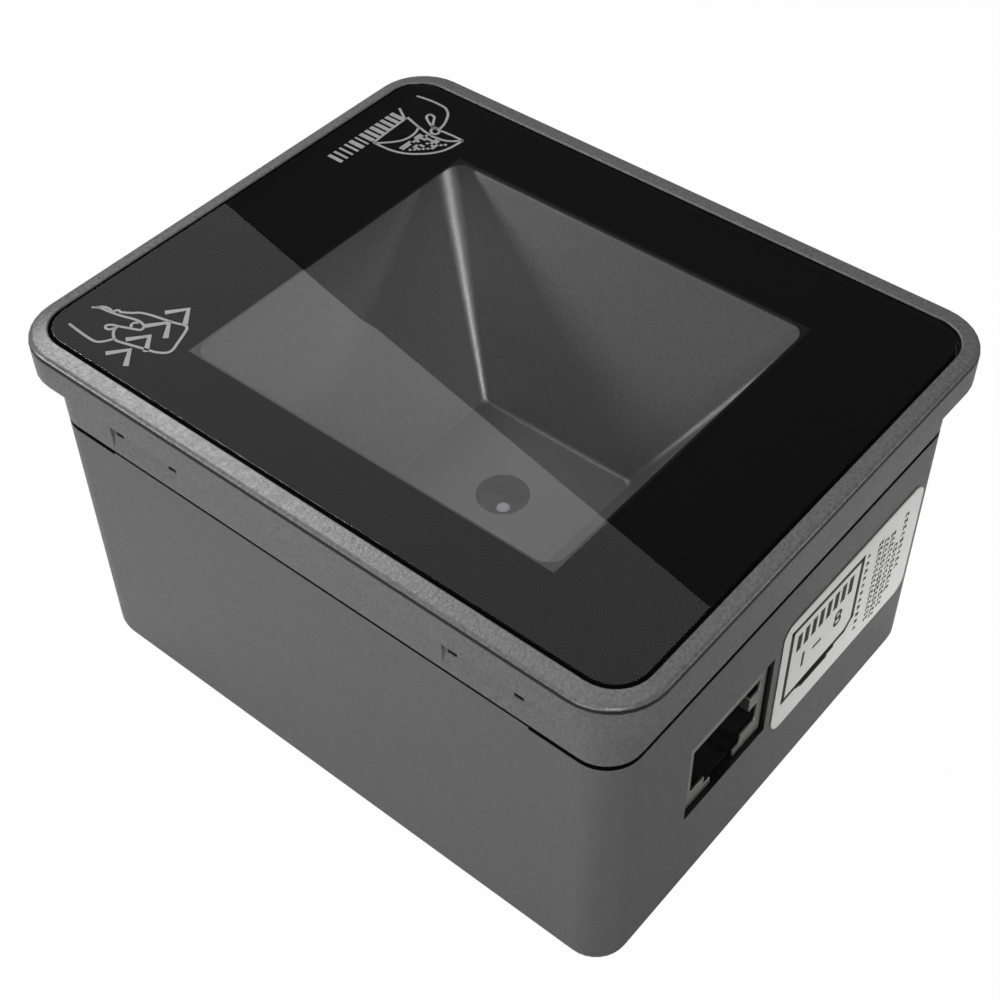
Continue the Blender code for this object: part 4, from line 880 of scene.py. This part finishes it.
# Glare card: where its mirror image's edge crosses the glass, a place on its side of that edge, its height,
# width and length in millimetres, and its power
GLARE_EDGE = ((-36.6, -2.6), (37.2, -16.5))
GLARE_SIDE = (-200, -200, 0)
GLARE_HEIGHT = 420.0
GLARE_WIDTH = 420.0
GLARE_LENGTH = 900.0
GLARE_POWER = 0.85


def add_glare_card():
    """A pale card whose mirror image in the cover glass ends along a straight slanting line."""
    mirror = Vector((CAMERA_PLACE[0], CAMERA_PLACE[1], 2 * GLASS_TOP - CAMERA_PLACE[2]))
    ends = []
    for x, y in GLARE_EDGE:
        point = Vector((x, y, GLASS_TOP))
        share = (GLARE_HEIGHT - mirror.z) / (point.z - mirror.z)
        ends.append(mirror + (point - mirror) * share)
    along = ends[1] - ends[0]
    along.normalize()
    out = along.cross(Vector((0, 0, 1)))
    middle = (ends[0] + ends[1]) / 2
    if (Vector(GLARE_SIDE) - middle).dot(out) < 0:
        out = -out
    card = bpy.data.lights.new("glare card", "AREA")
    card.shape = "RECTANGLE"
    card.size = GLARE_LENGTH * MM
    card.size_y = GLARE_WIDTH * MM
    card.energy = GLARE_POWER
    carrier = link_object("glare card", card)
    place = (middle + out * GLARE_WIDTH / 2) * MM
    axes = Matrix((along, out, along.cross(out))).transposed()
    if axes.col[2].z < 0:
        axes.col[0] = -axes.col[0]
        axes.col[2] = -axes.col[2]
    carrier.matrix_world = Matrix.Translation(place) @ axes.to_4x4()


def make_camera():
    """The photograph's own view."""
    lens = bpy.data.cameras.new("photograph")
    lens.sensor_width = 36.0
    lens.lens = CAMERA_LENS
    lens.clip_start = 0.005
    carrier = link_object("photograph", lens)
    axes = Matrix((CAMERA_RIGHT, [-value for value in CAMERA_DOWN], [-value for value in CAMERA_FORWARD]))
    carrier.matrix_world = Matrix.Translation(Vector(CAMERA_PLACE) * MM) @ axes.transposed().to_4x4()
    bpy.context.scene.camera = carrier


def make_materials():
    """Finishes of the pieces, by what they are made of, each with what it gives the eye."""
    return {
        # Grey coat on moulded ABS: dark neutral grey, an even grain of about a third of a millimetre
        "bezel": coated_abs("bezel", ("575757", "6f6f6f"), 0.30, 0.32, 0.024),
        "housing": coated_abs("lower_housing", ("565656", "636363"), 0.36, 0.32, 0.012),
        # Sprayed metallic paint: mid grey with a broad soft sheen
        "reflector": reflector_paint(),
        # Float glass: clear, with a sharp faint mirror image of the room
        "glass": cover_glass(),
        # Screen-printed enamel under the glass: dense flat black
        "ink": plain_finish("black screen print", ("0a0a0a", "0c0c0c"), 0.9, 0.5, 0.0,
                            Specular_IOR_Level=0.0),
        # Second print colour: flat pale grey
        "pale_ink": plain_finish("pale grey screen print", ("b4b4b4", "bcbcbc"), 0.5, 0.3, 0.002),
        # Coated polyester film: matt white with a faint paper-like tooth
        "film": plain_finish("matt white label film", ("f0f0ee", "f4f4f2"), 0.55, 0.4, 0.004),
        # Label print: soft black that doesn't shine
        "label_ink": plain_finish("black label print", ("161616", "1e1e1e"), 0.5, 0.3, 0.002),
        # Tin-plated sheet: pale grey metal with a soft stamped sheen
        "tin": plain_finish("tin plated sheet", ("a4a4a2", "b4b4b2"), 0.38, 0.5, 0.006, 1.0),
        # Glass-filled nylon: matt black with a slight mottle
        "nylon": plain_finish("black glass filled nylon", ("050505", "090909"), 0.7, 0.3, 0.006,
                              Specular_IOR_Level=0.15),
        # Gold plate on spring wire: warm yellow metal, bright
        "gold": plain_finish("gold plated spring", ("c8a050", "d8b468"), 0.25, 0.3, 0.002, 1.0),
        # Zinc plate on screws and cans: cool grey metal, slightly cloudy
        "zinc": plain_finish("zinc plated steel", ("a0a09c", "b0b0ac"), 0.35, 0.4, 0.004, 1.0),
        # Drawn aluminium can: light clean metal with a soft sheen
        "aluminium": plain_finish("drawn aluminium can", ("b8b8b8", "c4c4c4"), 0.3, 0.5, 0.003, 1.0),
        # Etched copper: reddish metal with a little tarnish
        "copper": plain_finish("etched copper track", ("a86438", "b87448"), 0.4, 0.3, 0.003, 1.0),
        # Green solder mask: glossy green with paler tracks
        "mask": solder_mask(),
        # Black solder mask, so that the ring board stays dark behind the lens cover
        "black_mask": plain_finish("black solder mask", ("0a0a0a", "101010"), 0.6, 0.3, 0.002),
        # Transfer-moulded epoxy: near-black with a dull tooth
        "epoxy": plain_finish("black moulded epoxy", ("141414", "1b1b1b"), 0.5, 0.2, 0.005),
        # Pressed ferrite: dull charcoal with a sandy grain
        "ferrite": plain_finish("pressed ferrite", ("2c2c2e", "38383a"), 0.7, 0.3, 0.01),
        # Unpigmented nylon: cream, half matt
        "beige": plain_finish("natural connector nylon", ("cfc6ac", "d9d1b9"), 0.5, 0.4, 0.005),
        # Polyester over flat conductors: clean off-white, half gloss
        "cable": plain_finish("white flat cable", ("d8d8d8", "e2e2e2"), 0.4, 0.6, 0.004),
        # Cast smoked epoxy: almost black and glossy
        "led": plain_finish("smoked epoxy LED", ("100c0c", "181212"), 0.25, 0.2, 0.002),
        # Closed-cell foam: black and fully matt, with a tooth as fine as its pores
        "foam": plain_finish("black adhesive foam", ("0c0c0c", "161616"), 0.9, 0.15, 0.02),
        # Tinted acrylic: dark grey, polished
        "tinted": clear_finish("smoked acrylic", 0.88, 1.3, 0.05)[0],
        # Coated lens: a small polished dome, near-white as a painted highlight
        "lens": plain_finish("lens glass painted white as a highlight", ("f0f0f6", "f6f6fa"), 0.15, 0.3, 0.0),
    }


# CAD nodes that keep their own shape, by finish
KEPT_NODES = {
    "nylon": ("lens_holder", "lens_barrel", "buzzer"),
    "lens": ("front_lens", "infrared_filter"),
    "foam": ("glass_tape",),
    "epoxy": ("image_sensor", "port_transformer", "processor_chip", "memory_chip", "card_reader_chip",
              "port_driver_chip"),
    "ferrite": ("power_inductor",),
    "mask": ("antenna_board", "camera_board", "main_board"),
    "black_mask": ("light_board",),
    "beige": ("antenna_socket", "board_socket", "camera_connector"),
    "cable": ("antenna_cable",),
    "led": tuple(f"fill_led_{number}" for number in range(1, 5)),
    "zinc": tuple(f"housing_screw_{number}" for number in range(1, 5))
    + tuple(f"board_screw_{number}" for number in range(1, 5))
    + ("camera_screw_1", "camera_screw_2", "crystal_can"),
    "aluminium": ("power_capacitor",),
    "gold": tuple(f"jack_contact_{number}" for number in range(1, 9)),
    "copper": ("antenna_loop",),
}


def finish_kept_nodes(materials):
    """Give each CAD node that keeps its own shape its finish."""
    for finish, nodes in KEPT_NODES.items():
        for name in nodes:
            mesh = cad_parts[name].data
            mesh.materials.clear()
            mesh.materials.append(materials[finish])


bpy.context.scene.view_settings.view_transform = "Standard"
make_camera()
make_floor()
make_room()
make_lamps()
add_glare_card()
materials = make_materials()
finish_kept_nodes(materials)
dress("bezel", materials["bezel"])
dress("lower_housing", materials["housing"])
dress("reflector_funnel", materials["reflector"], edge=0.0)
dress("jack_shield", materials["tin"], edge=0.06)
dress("jack_insert", materials["nylon"], edge=0.0)
dress("lens_cover", materials["tinted"], edge=0.0)
make_glass(materials)
make_code(materials)
make_label(materials)
